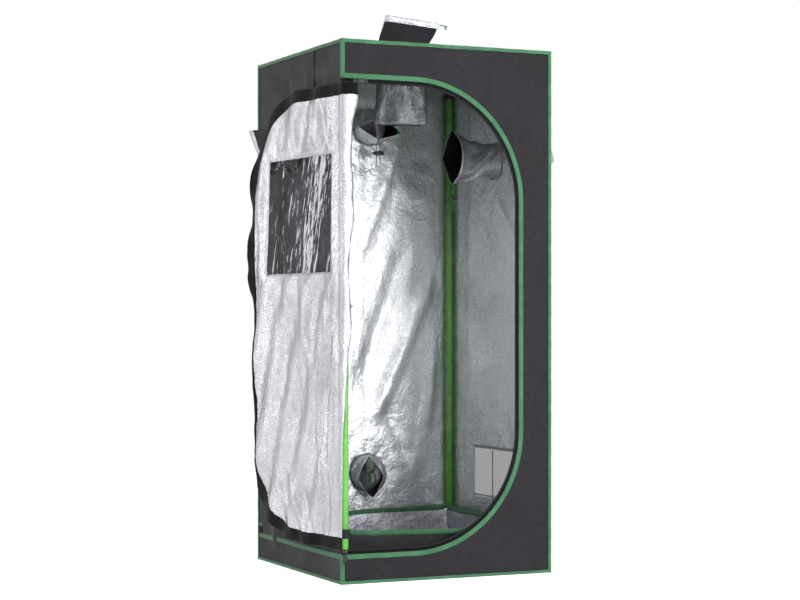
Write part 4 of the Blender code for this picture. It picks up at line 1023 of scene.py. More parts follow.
def bend(share, power):
    """A share raised to a power with its sign kept."""
    size = abs(share) ** power
    return size if share >= 0 else -size


def sleeve_ring(centre, travel, wide, half_wide, half_thick, point, gather, sides=20):
    """One round of a sleeve: an oval, pointed and gathered as its station says."""
    wide = wide.normalized()
    thick = travel.cross(wide).normalized()
    ring = []
    for index in range(sides):
        angle = 2 * pi * index / sides
        swell = 1 + gather * sin(5 * angle)
        reach = bend(cos(angle), point) * half_wide * swell
        rise = bend(sin(angle), point) * half_thick * swell
        ring.append(centre + wide * reach + thick * rise)
    return ring


def stations(centre, outward, upward, length_out, length_in, tip, shares):
    """The CAD model's rings, as (place, travel, axis, half width, half thickness, point, gather)."""
    centre = Vector(centre)
    outward = Vector(outward)
    upward = Vector(upward)
    across = upward.cross(outward)
    rows = []
    for reach, rise, drift, turn, wide, thick, point, gather in shares:
        length = length_out if reach >= 0 else length_in
        place = centre + (outward * reach + upward * rise + across * drift) * length
        tilt = tip * max(reach, 0) / shares[0][0]
        axis = across * cos(radians(turn)) + upward * sin(radians(turn)) + outward * tilt
        row = (axis, wide * PORT_RADIUS, thick * PORT_RADIUS, point, gather)
        ends = (COLLAR, -COLLAR) if reach == 0 else (0,)
        rows += [(place + outward * end, -outward if reach == 0 else None, *row) for end in ends]
    found = []
    for index, (place, travel, *row) in enumerate(rows):
        if travel is None:
            before = rows[max(index - 1, 0)][0]
            after = rows[min(index + 1, len(rows) - 1)][0]
            travel = -outward.lerp(-(after - before).normalized(), 0.6).normalized()
        found.append((place, travel, *row))
    return found


SLEEVE_SIDES = 96
STATION_STEPS = 8
LIP = 0.015


def fine_rows(rows):
    """The same sleeve with smooth rows between its stations."""
    count = (len(rows) - 1) * STATION_STEPS
    places = eased_line([row[0] for row in rows], count)
    travels = eased_line([row[1] for row in rows], count)
    axes = eased_line([row[2].normalized() for row in rows], count)
    sizes = eased_line([Vector(row[3:6]) for row in rows], count)
    gathers = eased_line([Vector((row[6], 0, 0)) for row in rows], count)
    rings = []
    for place, travel, axis, size, gather in zip(places, travels, axes, sizes, gathers):
        rings.append(sleeve_ring(place, travel.normalized(), axis, *size, gather[0], SLEEVE_SIDES))
    return rings, places


def make_sleeve(name, seed, soft):
    """A duct sleeve in two cloths: black outside with a silver lip, and silver inside the tent."""
    rows = stations(*SLEEVES[name])
    MOUTHS[name] = sleeve_ring(*rows[-1])
    if name == "roof":
        MOUTHS["roof_top"] = sleeve_ring(*rows[0])
    rings, places = fine_rows(rows)
    collar = [share[0] for share in SLEEVES[name][6]].index(0)
    wall_row = collar * STATION_STEPS + STATION_STEPS // 2
    travelled = [0.0]
    for a, b in zip(places, places[1:]):
        travelled.append(travelled[-1] + (b - a).length)
    total = travelled[-1]
    shaped = []
    for r, ring in enumerate(rings):
        centre = sum(ring, Vector()) / len(ring)
        from_wall = abs(travelled[r] - travelled[wall_row])
        to_mouth = min(travelled[r], total - travelled[r])
        free = ramp(from_wall - 0.007, 0.035)
        row = []
        for index, point in enumerate(ring):
            before = ring[index - 1]
            after = ring[(index + 1) % len(ring)]
            later = rings[min(r + 1, len(rings) - 1)][index]
            side = (after - before).cross(later - rings[max(r - 1, 0)][index])
            side = side.normalized() if side.length > 1e-12 else (point - centre).normalized()
            if side.dot(point - centre) < 0:
                side = -side
            angle = 2 * pi * index / len(ring)
            gather = 0.0010 * sin(17 * angle + seed) * exp(-from_wall / 0.016)
            gather *= ramp(from_wall - 0.004, 0.008)
            spot = Vector((3.0 * cos(angle), 3.0 * sin(angle), travelled[r] * 22 + seed))
            folds = 0.0030 * soft * noise.noise(spot)
            folds += 0.0016 * soft * (abs(noise.noise(spot * 2.2)) - 0.25)
            folds += 0.0016 * soft * sin(5 * angle + 2.0 * sin(travelled[r] * 30 + seed))
            lip = 0.0007 * ramp(LIP - to_mouth, 0.002)
            shift = gather + folds * free * (0.15 + 0.85 * ramp(to_mouth, 0.03)) + lip
            row.append(point + side * shift)
        shaped.append(row)
    outer = slice(wall_row + 1)
    inner = slice(wall_row, None)
    outer_looks = [BLACK, SILVER_SOFT, SILVER_SOFT]
    # The roof sleeve's inside takes the silver with painted shade
    inner_looks = [SILVER_SLEEVE_PAINTED_SHADE if name == "roof" else SILVER_SOFT, BLACK_HEM]
    parts = (
        ("outer", shaped[outer], travelled[outer], outer_looks, "black_cloth", 0.0),
        ("inner", shaped[inner], travelled[inner], inner_looks, "silver_cloth", total),
    )
    for end, rows, run, looks, slot, mouth in parts:
        vertices, faces = grid(rows, wrap=True)
        made = piece(f"sleeve_{name}_{end}", vertices, faces, looks, "tent", slot, [f"sleeve_{name}"])
        if end == "outer":
            for face in made.data.polygons:
                band = face.index // SLEEVE_SIDES
                if abs((run[band] + run[band + 1]) / 2 - mouth) < LIP:
                    face.material_index = 1
        thicken(made, 0.0009, looks=(1, 0))
        hem = min(range(len(run)), key=lambda i: abs(abs(run[i] - mouth) - LIP))
        ring = rows[hem] + rows[hem][:1]
        middle = sum(rows[hem], Vector()) / len(rows[hem])
        stitches = []
        for a, b in zip(ring[::2], ring[2::2]):
            out = ((a + b) / 2 - middle).normalized()
            line = [a + out * 0.0003, b + out * 0.0003]
            stitches.append(stitch_row(line, out, (b - a).length * 0.6, 1.0))
        thread = WHITE_STITCH if end == "outer" else STITCH
        piece(f"sleeve_{name}_{end}_stitches", *merge(*stitches), thread, "tent", slot)


# The drawcords' routes, in metres from the mouth's lowest point: sideways, forwards and down.
ROOF_CORD = (
    (-0.0017, 0.0, 0.0), (-0.0022, 0.0, 0.007), (-0.0040, 0.0, 0.018), (-0.0048, 0.001, 0.030),
    (-0.0052, 0.001, 0.046), (-0.0054, 0.001, 0.058), (-0.0040, 0.001, 0.0635), (0.0000, 0.001, 0.0655),
    (0.0040, 0.001, 0.0635), (0.0054, 0.001, 0.058), (0.0052, 0.001, 0.046), (0.0048, 0.001, 0.030),
    (0.0040, 0.0, 0.018), (0.0022, 0.0, 0.007), (0.0017, 0.0, 0.0),
)
LOCKED_CORD = (
    (-0.0017, 0.0, 0.0), (-0.0022, 0.0, 0.006), (-0.0042, 0.0, 0.014), (-0.0050, 0.0, 0.019),
    (-0.0050, 0.0, 0.030), (-0.0050, 0.0, 0.048), (-0.0050, 0.0, 0.062), (-0.0056, 0.0, 0.070),
    (-0.0046, 0.0, 0.0765), (0.0000, 0.0, 0.0790), (0.0046, 0.0, 0.0765), (0.0056, 0.0, 0.070),
    (0.0050, 0.0, 0.062), (0.0050, 0.0, 0.048), (0.0050, 0.0, 0.030), (0.0050, 0.0, 0.019),
    (0.0042, 0.0, 0.014), (0.0022, 0.0, 0.006), (0.0017, 0.0, 0.0),
)
LOCK_DROP = 0.040
# The knotted end outside the roof sleeve
KNOTTED_CORD = (
    (0.0, 0.0, 0.0), (0.0040, 0.0, -0.0010), (0.0080, 0.001, 0.0), (0.0120, 0.001, 0.0020),
    (0.0145, 0.0, 0.0055), (0.0175, 0.0, 0.0070), (0.0190, 0.0, 0.0040), (0.0160, 0.003, 0.0015),
    (0.0135, 0.003, 0.0045), (0.0145, 0.002, 0.0090), (0.0165, 0.001, 0.0115), (0.0175, 0.0, 0.0135),
)


def hang_cord(name, top, side, forward, route, node=None):
    """A drawcord that leaves its sleeve's hem, hangs in a loop and goes back into it."""
    curve = bpy.data.curves.new(name, "CURVE")
    curve.dimensions = "3D"
    curve.bevel_depth = CORD_DIAMETER / 2
    curve.bevel_resolution = 3
    curve.use_fill_caps = True
    knots = [
        top + side * across + forward * ahead - Vector((0, 0, down)) for across, ahead, down in route
    ]
    points = smooth_line(knots, 8 * (len(knots) - 1))
    spline = curve.splines.new("POLY")
    spline.points.add(len(points) - 1)
    for knot, point in zip(spline.points, points):
        knot.co = (*point, 1)
    made = bpy.data.objects.new(name, curve)
    bpy.context.scene.collection.objects.link(made)
    curve.materials.append(CORD)
    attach(made, "tent")
    if node:
        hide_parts(node)


def make_lock(name, top, side, body):
    """A spring lock on two strands: a barrel with a button pressed into one end."""
    forward = Vector((0, 0, 1)).cross(side)
    centre = top - Vector((0, 0, LOCK_DROP))
    place = Matrix.Translation(centre) @ Matrix((side, forward, (0, 0, 1))).transposed().to_4x4()
    barrel = box_part((-0.0105, -0.0043, -0.0058), (0.0165, 0.0043, 0.0058), 0.0022, place)
    turn = place @ Matrix.Rotation(-pi / 2, 4, "Y")
    button = [
        (0, 0.017), (0.0030, 0.0168), (0.0037, 0.0160), (0.0037, 0.0125), (0.0028, 0.0115),
        (0.0028, 0.008),
    ]
    rim = [(0.0034, 0.0090), (0.0046, 0.0092), (0.0049, 0.0100), (0.0046, 0.0108), (0.0030, 0.0110)]
    collar = [(0.0016, -0.0006), (0.0026, -0.0004), (0.0028, 0.0000), (0.0026, 0.0006), (0.0016, 0.0006)]
    parts = [barrel, turned(button, turn, 24), turned(rim, turn, 24)]
    for sign in (-1, 1):
        for level in (-1, 1):
            seat = place @ Matrix.Translation((sign * 0.005, 0, level * 0.0056))
            parts.append(turned(collar, seat, 20))
    node = f"lock_{name}"
    return piece(f"cord_{node}", *merge(*parts), PLASTIC, body, "black_plastic", [node])


def lowest(name):
    """The lowest point of a sleeve's inner mouth."""
    return min(MOUTHS[name], key=lambda point: point.z)


def make_cords():
    """The sleeves' drawcords, three of them with a spring lock."""
    drop = Vector((0, 0, 0.0003))
    level = Vector((1, 0, 0))
    ahead = Vector((0, -1, 0))
    up = Vector((0, 0, 1))
    side = Vector((cos(radians(ROOF_TURN)), sin(radians(ROOF_TURN)), 0))
    front = Vector((sin(radians(ROOF_TURN)), -cos(radians(ROOF_TURN)), 0))
    hang_cord("drawcord_roof", lowest("roof") - drop, side, front, ROOF_CORD, "cord_roof_inner")
    end = max(MOUTHS["roof_top"], key=lambda point: point.x)
    hang_cord("drawcord_roof_outer", end + side * 0.0020 - up * 0.004, side, front, KNOTTED_CORD)
    low_top = max(MOUTHS["rear_lower"], key=lambda point: point.z) + ahead * (CORD_DIAMETER / 2 + 0.0006)
    locked = (
        ("rear_upper", lowest("rear_upper") - drop, level, "upper_lock"),
        ("right", lowest("right") - drop, ahead, "side_lock"),
        ("rear_lower", low_top, level, "lower_lock"),
    )
    for name, top, across, body in locked:
        lock = make_lock(name, top, across, body)
        hang_cord(f"drawcord_{name}", top, across, up.cross(across), LOCKED_CORD, f"cord_{name}")


SOFTNESS = {"roof": 1.0, "right": 1.2, "left": 0.8, "rear_upper": 1.2, "rear_lower": 1.0}
for number, (sleeve_name, softness) in enumerate(SOFTNESS.items()):
    make_sleeve(sleeve_name, 3.7 * number + 1.1, softness)
make_cords()


# The leaf's own shape; SLACK says how slack its cloth hangs at the hinge, from the foot up
LOOP_END = 0.030
LOOP_STEPS = 24
LEAF_START = 0.036
WINDOW_COLUMNS = 64
HEM_ARC_STEPS = 48
SLACK = (
    (0.09, 0.0), (0.344, 0.002), (0.473, 0.010), (0.700, 0.025), (0.825, 0.019), (0.940, 0.031),
    (1.109, 0.025), (1.273, 0.042), (1.290, 0.042),
)
LEAF_LEFT, LEAF_FOOT, LEAF_RIGHT, LEAF_HEAD = WINDOW
EDGE_INSET = BAND + TAPE + 0.0015
LOW_CENTRE = DOOR_LOW + DOOR_RADIUS
HIGH_CENTRE = DOOR_HIGH - DOOR_RADIUS
ARC_U = DOOR_RIGHT - DOOR_RADIUS - HINGE
LEAF = Matrix.Translation((HINGE, HINGE, 0)) @ Matrix.Rotation(LEAF_ANGLE, 4, "Z")
OUT_OF_LEAF = LEAF.to_3x3() @ Vector((0, 1, 0))


def hung(point):
    """A point along, off and up the leaf, in the tent's frame, with the sag of the lower free corner."""
    drop = 0.014 * ramp(point[0] - 0.22, 0.20) * ramp(0.52 - point[2], 0.40)
    return LEAF @ Vector((point[0], point[1], point[2] - drop))


def slack(v):
    """How far the slack cloth at the hinge hangs out at a height."""
    for (a, low), (b, high) in zip(SLACK, SLACK[1:]):
        if v < b:
            return low + (high - low) * ramp(v - a, b - a)
    return SLACK[-1][1]


def leaf_reach(v, inset):
    """How far the leaf reaches from its hinge at a height."""
    off = max(LOW_CENTRE - v, v - HIGH_CENTRE, 0)
    radius = DOOR_RADIUS - EDGE_INSET - inset
    return ARC_U + max(radius * radius - off * off, 0) ** 0.5


def from_window(u, v):
    """How far a point of the leaf is from its window."""
    return hypot(max(LEAF_LEFT - u, u - LEAF_RIGHT, 0), max(LEAF_FOOT - v, v - LEAF_HEAD, 0))


def fold(u, v):
    """The main folds, as in the CAD model."""
    free = ramp(from_window(u, v), 0.030) * ramp(u - 0.034, 0.030)
    wave = sin(2 * pi * (u + 0.35 * (v - LEAF_FOOT)) / 0.120)
    cross = sin(2 * pi * (v + u) / 0.240)
    return 0.013 * free * (1 + wave + 0.40 * (cross - 1)) / 2


# Folds of the hung cloth: start, end, half width and height
LEAF_RIDGES = (
    ((0.034, 0.80), (0.062, 0.66), 0.011, 0.0060), ((0.062, 0.66), (0.104, 0.50), 0.011, 0.0070),
    ((0.104, 0.50), (0.116, 0.35), 0.010, 0.0070), ((0.058, 0.70), (0.072, 0.37), 0.009, -0.0065),
    ((0.036, 0.60), (0.040, 0.36), 0.007, 0.0045),
    ((0.012, 0.346), (0.110, 0.338), 0.006, -0.0070), ((0.100, 0.325), (0.078, 0.10), 0.009, 0.0055),
    ((0.052, 0.325), (0.034, 0.10), 0.008, 0.0045), ((0.270, 0.260), (0.180, 0.10), 0.012, 0.0065),
    ((0.330, 0.240), (0.250, 0.12), 0.014, 0.0045), ((0.220, 0.250), (0.130, 0.11), 0.012, -0.0050),
    ((0.160, 1.24), (0.152, 1.13), 0.015, 0.0060), ((0.245, 1.22), (0.235, 1.13), 0.013, 0.0045),
    ((0.105, 1.25), (0.085, 1.13), 0.014, -0.0055), ((0.066, 1.25), (0.060, 1.13), 0.012, 0.0055),
    ((0.320, 1.19), (0.330, 1.13), 0.014, 0.0040), ((0.430, 1.00), (0.440, 0.80), 0.016, 0.0060),
    ((0.200, 0.76), (0.150, 0.50), 0.022, 0.0060), ((0.330, 0.76), (0.300, 0.50), 0.030, -0.0045),
)


def leaf_lift(u, v):
    """How far the hung cloth stands off its flat plane, towards its silver side."""
    free = 0.12 + 0.88 * ramp(from_window(u, v), 0.035)
    lift = 0.75 * fold(u, v) + ridges(u, v, LEAF_RIDGES) * free
    flat = 1 - exp(-(((u - 0.26) / 0.08) ** 2) - ((v - 0.40) / 0.02) ** 2)
    crumple = 0.0042 * (creases(u, v, 0.095, 4.4) - 0.33) + 0.0015 * (creases(u, v, 0.030, 6.1) - 0.33)
    lift += crumple * free * flat
    band = hump(v - 0.440 - 0.006 * sin(30 * u), 0.013) * ramp(u - 0.15, 0.05) * ramp(0.45 - u, 0.03)
    lift += 0.0065 * (creases(u, v, 0.022, 2.2) - 0.25) * band
    beside_strap = ramp(0.065 - u, 0.03) * ramp(0.19 - v, 0.04)
    lift *= ramp(u - 0.016, 0.025) * (1 - 0.8 * beside_strap)
    return lift + 0.0012 + 0.0008 * ramp(u - 0.024, 0.012)


def leaf_loop(v):
    """The slack cloth from the hinge out and back over it, as points along the leaf and off it."""
    b = slack(v)
    end = Vector((LOOP_END, leaf_lift(LOOP_END, v), 0))
    knots = [
        (0, 0, 0), (-0.30 * b + 0.003, -0.52 * b, 0), (-0.53 * b, -0.85 * b, 0),
        (-0.55 * b - 0.003, -0.45 * b, 0), (-0.30 * b - 0.002, 0.10 * b + 0.002, 0), (0.012, 0.0012, 0),
        end,
    ]
    for number in range(1, 5):
        stir = 0.0045 * ramp(b, 0.02) * noise.noise(Vector((v * 17, 1.7 * number, 0.4)))
        knots[number] = (knots[number][0] + stir, knots[number][1] + 0.6 * stir, 0)
    return smooth_line(knots, LOOP_STEPS)


def lean(u, v):
    """The window's upper end leans towards the hinge, as the slack cloth pulls it."""
    share = (v - LEAF_FOOT) / (LEAF_HEAD - LEAF_FOOT)
    away = max(LEAF_FOOT - v, v - LEAF_HEAD, 0)
    reach = leaf_reach(v, HEM)
    middle = sin(pi * min(max((u - LOOP_END) / (reach - LOOP_END), 0), 1))
    return min(max(0.034 * (0.45 - share), -0.020), 0.016) * ramp(0.10 - away, 0.10) * middle


def on_leaf(u, v, lift=0.0):
    """The point of the hung cloth that was at (u, v) before it was hung."""
    place = u + lean(u, v)
    return Vector((place, leaf_lift(place, v) + lift, v))


def settle(made):
    """Carry out a piece's modifiers, so that its mesh is final."""
    bpy.context.view_layer.update()
    mesh = bpy.data.meshes.new_from_object(made.evaluated_get(bpy.context.evaluated_depsgraph_get()))
    made.modifiers.clear()
    made.data = mesh


def make_leaf():
    """The silvered cloth of the door, black outside, with the opening for its window."""
    radius = DOOR_RADIUS - EDGE_INSET - HEM
    arc = [radius * sin(pi / 2 * i / 26) for i in range(27)]
    marks = [LOW_CENTRE - reach for reach in reversed(arc)]
    marks += ticks(LOW_CENTRE, HIGH_CENTRE, [LEAF_FOOT], 0.008)[1:-1]
    marks += [HIGH_CENTRE + reach for reach in arc]
    nearest = min(range(len(marks)), key=lambda i: abs(marks[i] - LEAF_HEAD))
    marks[nearest] = LEAF_HEAD
    rows = []
    for v in marks:
        reach = leaf_reach(v, HEM)
        second = min(LEAF_RIGHT, LOOP_END + 0.9 * (reach - LOOP_END))
        columns = [LEAF_START + (LEAF_LEFT - LEAF_START) * i / 3 for i in range(3)]
        columns += [LEAF_LEFT + (second - LEAF_LEFT) * i / WINDOW_COLUMNS for i in range(WINDOW_COLUMNS)]
        columns += [second + (reach - second) * i / 12 for i in range(13)]
        loop = [Vector((point.x, point.y, v)) for point in leaf_loop(v)]
        rows.append([hung(point) for point in loop + [on_leaf(u, v) for u in columns]])
    vertices, faces = grid(rows)
    spans = len(rows[0]) - 1
    first = LOOP_STEPS + 1 + 3
    foot = marks.index(LEAF_FOOT)
    head = marks.index(LEAF_HEAD)
    kept = []
    for number, face in enumerate(faces):
        row, column = divmod(number, spans)
        if not (foot <= row < head and first <= column < first + WINDOW_COLUMNS):
            kept.append(tuple(reversed(face)))
    leaf = piece("door_leaf", vertices, kept, [SILVER_DOOR, BLACK], None, "silver_cloth", ["door_panel"])
    settle(thicken(leaf, looks=(1, 0)))
    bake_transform(leaf)


# Lines where the hung window buckles: start, end, half width and strength
FILM_LINES = (
    ((0.135, 1.11), (0.172, 0.80), 0.024, 1.0), ((0.100, 1.10), (0.055, 0.98), 0.020, 0.9),
    ((0.245, 1.10), (0.275, 1.01), 0.010, 0.9), ((0.185, 1.08), (0.220, 0.96), 0.006, 0.8),
    ((0.262, 0.96), (0.290, 0.81), 0.005, 0.8), ((0.205, 0.93), (0.222, 0.87), 0.005, 0.7),
    ((0.062, 0.94), (0.072, 0.86), 0.010, 0.8), ((0.375, 0.98), (0.400, 0.86), 0.008, 0.7),
)


def film_crease(u, v):
    """Shards of crease in the film, along the lines where it buckles."""
    large = abs(noise.noise(Vector((u / 0.0105, v / 0.040, 3.3))))
    small = abs(noise.noise(Vector((u / 0.005, v / 0.016, 9.1))))
    total = 0.0006 * (creases(u, v * 0.35, 0.020, 8.8) - 0.3)
    total += ridges(u, v, FILM_LINES) * 0.0075 * (large + 0.4 * small - 0.18)
    beside = min(u - LEAF_LEFT, LEAF_RIGHT - u, v - LEAF_FOOT, LEAF_HEAD - v)
    return total * ramp(beside + 0.004, 0.010)


def make_window():
    """Clear film, sewn behind the leaf's opening, with the seams above and below it."""
    edge = 0.004
    rows = []
    for v in ticks(LEAF_FOOT - edge, LEAF_HEAD + edge, (), 0.0025):
        columns = ticks(LEAF_LEFT - edge, LEAF_RIGHT + edge, (), 0.0025)
        rows.append([LEAF @ on_leaf(u, v, film_crease(u, v) - 0.0012) for u in columns])
    vertices, faces = grid(rows)
    film = piece("door_film", vertices, faces, FILM, "door", "clear_film", ["door_window"])
    thicken(film, 0.0004)
    film.visible_shadow = False
    rows = []
    for v in (
        LEAF_HEAD + 0.007, LEAF_HEAD + 0.018, LEAF_HEAD + 0.030, LEAF_FOOT - 0.007, LEAF_FOOT - 0.018
    ):
        reach = leaf_reach(v, HEM) - 0.004
        line = [LEAF @ on_leaf(u, v, 0.0001) for u in ticks(LEAF_LEFT - 0.004, reach, (), 0.006)]
        rows.append(stitch_row(line, OUT_OF_LEAF, 0.0030, 0.0012, 0.00036))
    for u in (LEAF_LEFT - 0.004, LEAF_RIGHT + 0.006):
        line = [
            LEAF @ on_leaf(u, v, 0.0001) for v in ticks(LEAF_FOOT - 0.007, LEAF_HEAD + 0.007, (), 0.006)
        ]
        rows.append(stitch_row(line, OUT_OF_LEAF, 0.0030, 0.0012, 0.00036))
    piece("window_stitches", *merge(*rows), WHITE_STITCH, "door", "silver_cloth")


def hem_stations():
    """For each step along the hem, a function that gives the point at a share of its width."""
    foot = DOOR_LOW + EDGE_INSET
    head = DOOR_HIGH - EDGE_INSET
    radius = DOOR_RADIUS - EDGE_INSET

    def looped(step, v, rise):
        return lambda share: Vector((*leaf_loop(v + rise * share)[step][:2], v + rise * share))

    def lying(u, v, run, rise):
        def at(share):
            place = u + run * share
            height = v + rise * share
            return Vector((place, leaf_lift(place, height), height))
        return at

    def arc(i, centre, sign):
        angle = pi / 2 * i / HEM_ARC_STEPS
        out = sin(angle)
        away = sign * cos(angle)
        return lying(ARC_U + radius * out, centre - radius * away, -HEM * out, HEM * away)

    steps = range(1, LOOP_STEPS)
    across = ticks(LEAF_START, ARC_U, (), 0.007)
    stations = [looped(step, foot, HEM) for step in steps]
    stations += [lying(u, foot, 0, HEM) for u in across[:-1]]
    stations += [arc(i, LOW_CENTRE, 1) for i in range(HEM_ARC_STEPS)]
    stations += [
        lying(ARC_U + radius, v, -HEM, 0) for v in ticks(LOW_CENTRE, HIGH_CENTRE, (), 0.006)[:-1]
    ]
    stations += [arc(HEM_ARC_STEPS - i, HIGH_CENTRE, -1) for i in range(HEM_ARC_STEPS)]
    stations += [lying(u, head, 0, -HEM) for u in reversed(across)]
    stations += [looped(step, head, -HEM) for step in reversed(steps)]
    return stations


def curl(v, u):
    """How far the hem rolls towards the wall: most along the lower part of its upright edge."""
    wave = 0.85 + 0.30 * sin(27 * v) + 0.16 * sin(61 * v + 1)
    low = 1.15 * wave * ramp(0.80 - v, 0.16) * ramp(v - 0.20, 0.12)
    return ramp(u - 0.40, 0.06) * (low + 0.30 * sin(34 * v) * ramp(v - 0.80, 0.05))


def make_hem():
    """The black hem tape round the leaf's free edges, with the door's half of the zip."""
    rows = []
    edge = []
    for at in hem_stations():
        inner = at(1.0)
        outer = at(0.0)
        across = (outer - inner) / HEM
        angle = curl(inner.z, inner.x)
        sag = Vector((0, 0, -0.006 * ramp(inner.x - 0.25, 0.2) * ramp(0.5 - inner.z, 0.3)))
        row = []
        for step in range(10):
            share = 1.12 - 1.12 * step / 9
            if share > 1 or angle == 0:
                point = at(share)
            else:
                bent = angle * (1 - share)
                reach = (1 - share) * HEM
                point = inner + across * reach * cos(bent) - Vector((0, 1, 0)) * reach * sin(bent)
            point = point + Vector((0, 0.0007, 0)) + sag * (1 - min(share, 1))
            row.append(hung(point))
        rows.append(row)
        edge.append((row[-1], (row[-2] - row[-1]).normalized()))
    vertices, faces = grid(rows)
    hem = piece("door_hem_tape", vertices, faces, BLACK_HEM, None, "black_cloth", ["door_hem"])
    settle(thicken(hem, 0.0016, 0.0))
    teeth = piece(
        "door_zip_teeth", *zip_teeth(edge, -0.0016, -OUT_OF_LEAF), PLASTIC, None, "black_plastic"
    )
    rows_of_stitches = []
    for column in (1, 6):
        line = [row[column] + OUT_OF_LEAF * 0.0008 for row in rows]
        rows_of_stitches.append(stitch_row(line, OUT_OF_LEAF, 0.0028, 0.0014, 0.0003))
    stitches = piece("door_hem_stitches", *merge(*rows_of_stitches), STITCH, None, "black_cloth")
    for made in (hem, teeth, stitches):
        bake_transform(made)


make_leaf()
make_window()
make_hem()


# Angle from which an edge stays crisp
CRISP = radians(35)

# Corner pieces, hanging bars and what grips a tube: its inner radius is GRIP
GRIP = 0.0103
SOCKET_RADIUS = 0.0123
SOCKET_LENGTH = 0.055
CORE = 0.0128
STOP = 0.0153
BAR_RADIUS = 0.007
BAR_AT = 0.150
BAR_HALF = 0.2746
CLIP_WIDE = 0.016


def solid(name, part, look, body, slot, nodes=()):
    """A piece whose closed skin faces outward all round."""
    made = piece(name, *part, look, body, slot, nodes)
    shape = bmesh.new()
    shape.from_mesh(made.data)
    bmesh.ops.recalc_face_normals(shape, faces=shape.faces)
    shape.to_mesh(made.data)
    shape.free()
    return made


def sharpen(made):
    """Keep a turned or moulded piece's edges crisp."""
    made.data.set_sharp_from_angle(angle=CRISP)


def tube_profile(length, joint):
    """A steel tube's outside, with rolled ends and a swaged joint half way."""
    r = TUBE_RADIUS
    points = [(r - 0.0012, 0.0002), (r - 0.0003, 0.0), (r, 0.0006)]
    if joint:
        middle = length / 2
        points += [
            (r, middle - 0.0300), (r - 0.0002, middle - 0.0290), (r - 0.0002, middle - 0.0020),
            (r - 0.0006, middle - 0.0012), (r - 0.0006, middle), (r - 0.0001, middle + 0.0002),
            (r + 0.0001, middle + 0.0010), (r, middle + 0.0030),
        ]
    points += [(r, length - 0.0006), (r - 0.0003, length), (r - 0.0012, length - 0.0002)]
    return points


def make_tube(name, start, end, joint=False):
    """A painted tube of the frame; a jointed one has a spring button."""
    start = Vector(start)
    end = Vector(end)
    place = along(end - start, start)
    parts = [turned(tube_profile((end - start).length, joint), place, 40)]
    if joint:
        centre = place @ Vector((TUBE_RADIUS - 0.0006, 0, (end - start).length / 2 + 0.022))
        button = [(0.0, 0.0019), (0.0014, 0.0016), (0.0024, 0.0008), (0.0028, 0.0)]
        parts.append(turned(button, along(place.to_3x3() @ Vector((1, 0, 0)), centre), 20))
    # The rear posts take the copy of the paint with painted shade
    paint = LIME_PAINTED_SHADE if name.startswith("post_rear") else LIME
    sharpen(piece(f"{name}_tube", *merge(*parts), paint, "tent", "green_paint", [name]))


def socket_profile():
    """A socket's outside and the first of its inside."""
    r = SOCKET_RADIUS
    end = SOCKET_LENGTH
    return [
        (r - 0.0006, 0.008), (r - 0.0004, 0.0135), (r - 0.0002, 0.020), (r - 0.0002, end - 0.0050),
        (r, end - 0.0044), (r, end - 0.0010), (r - 0.0006, end), (GRIP + 0.0003, end),
        (GRIP, end - 0.0006), (GRIP, end - 0.006),
    ]


def make_corner(name, corner, inward):
    """A three-way moulded corner: a block with three ribbed sockets."""
    corner = Vector(corner)
    parts = [box_part([c - CORE for c in corner], [c + CORE for c in corner], 0.0030)]
    for index, sign in enumerate(inward):
        axis = [0, 0, 0]
        axis[index] = sign
        place = along(axis, corner)
        parts.append(turned(socket_profile(), place, 40))
        for rib in range(4):
            turn = place @ Matrix.Rotation(pi / 4 + pi / 2 * rib, 4, "Z")
            low = (SOCKET_RADIUS - 0.0008, -0.0008, 0.012)
            high = (SOCKET_RADIUS - 0.0001, 0.0008, SOCKET_LENGTH - 0.006)
            parts.append(box_part(low, high, 0.0003, turn))
    sharpen(solid(f"{name}_moulding", merge(*parts), PLASTIC, "tent", "black_plastic", [name]))


def clip_part(place):
    """A hook over a rail, with a neck towards its own +X."""
    inner = GRIP
    outer = SOCKET_RADIUS
    path = []
    steps = 40
    for step in range(steps + 1):
        angle = -radians(32) + (pi + radians(57)) * step / steps
        side = Vector((cos(angle), 0, sin(angle)))
        path.append((Vector((0, 0, 0)), side, Vector((0, 1, 0))))
    half = CLIP_WIDE / 2
    section = (
        (inner, -half + 0.0005), (inner + 0.0004, -half), (outer - 0.0004, -half),
        (outer, -half + 0.0005), (outer, half - 0.0005), (outer - 0.0004, half), (inner + 0.0004, half),
        (inner, half - 0.0005),
    )
    hook = sweep(path, section)
    neck = box_part((outer - 0.0006, -half, -0.0064), (outer + 0.008, half, 0.0064), 0.0016)
    return moved(merge(hook, neck), place)


def make_bar(end, back):
    """A hanging bar, which slides on the upper side rails."""
    y = back * BAR_AT
    left = clip_part(Matrix.Translation((-POST, y, RAIL_HIGH)))
    right = clip_part(Matrix.Translation((POST, y, RAIL_HIGH)) @ Matrix.Rotation(pi, 4, "Z"))
    body = f"{end}_bar"
    node = f"hanging_bar_{end}"
    r = BAR_RADIUS
    end_round = 0.0008
    ends = [(0.0, 0.0), (r - end_round, 0.0), (r, end_round)]
    profile = ends + [(radius, 2 * BAR_HALF - height) for radius, height in reversed(ends)]
    tube = turned(profile, along((1, 0, 0), (-BAR_HALF, y, RAIL_HIGH)), 36)
    sharpen(solid(f"{node}_tube", tube, LIME, body, "green_paint", [node]))
    sharpen(solid(f"{node}_clips", merge(left, right), PLASTIC, body, "black_plastic", [node]))


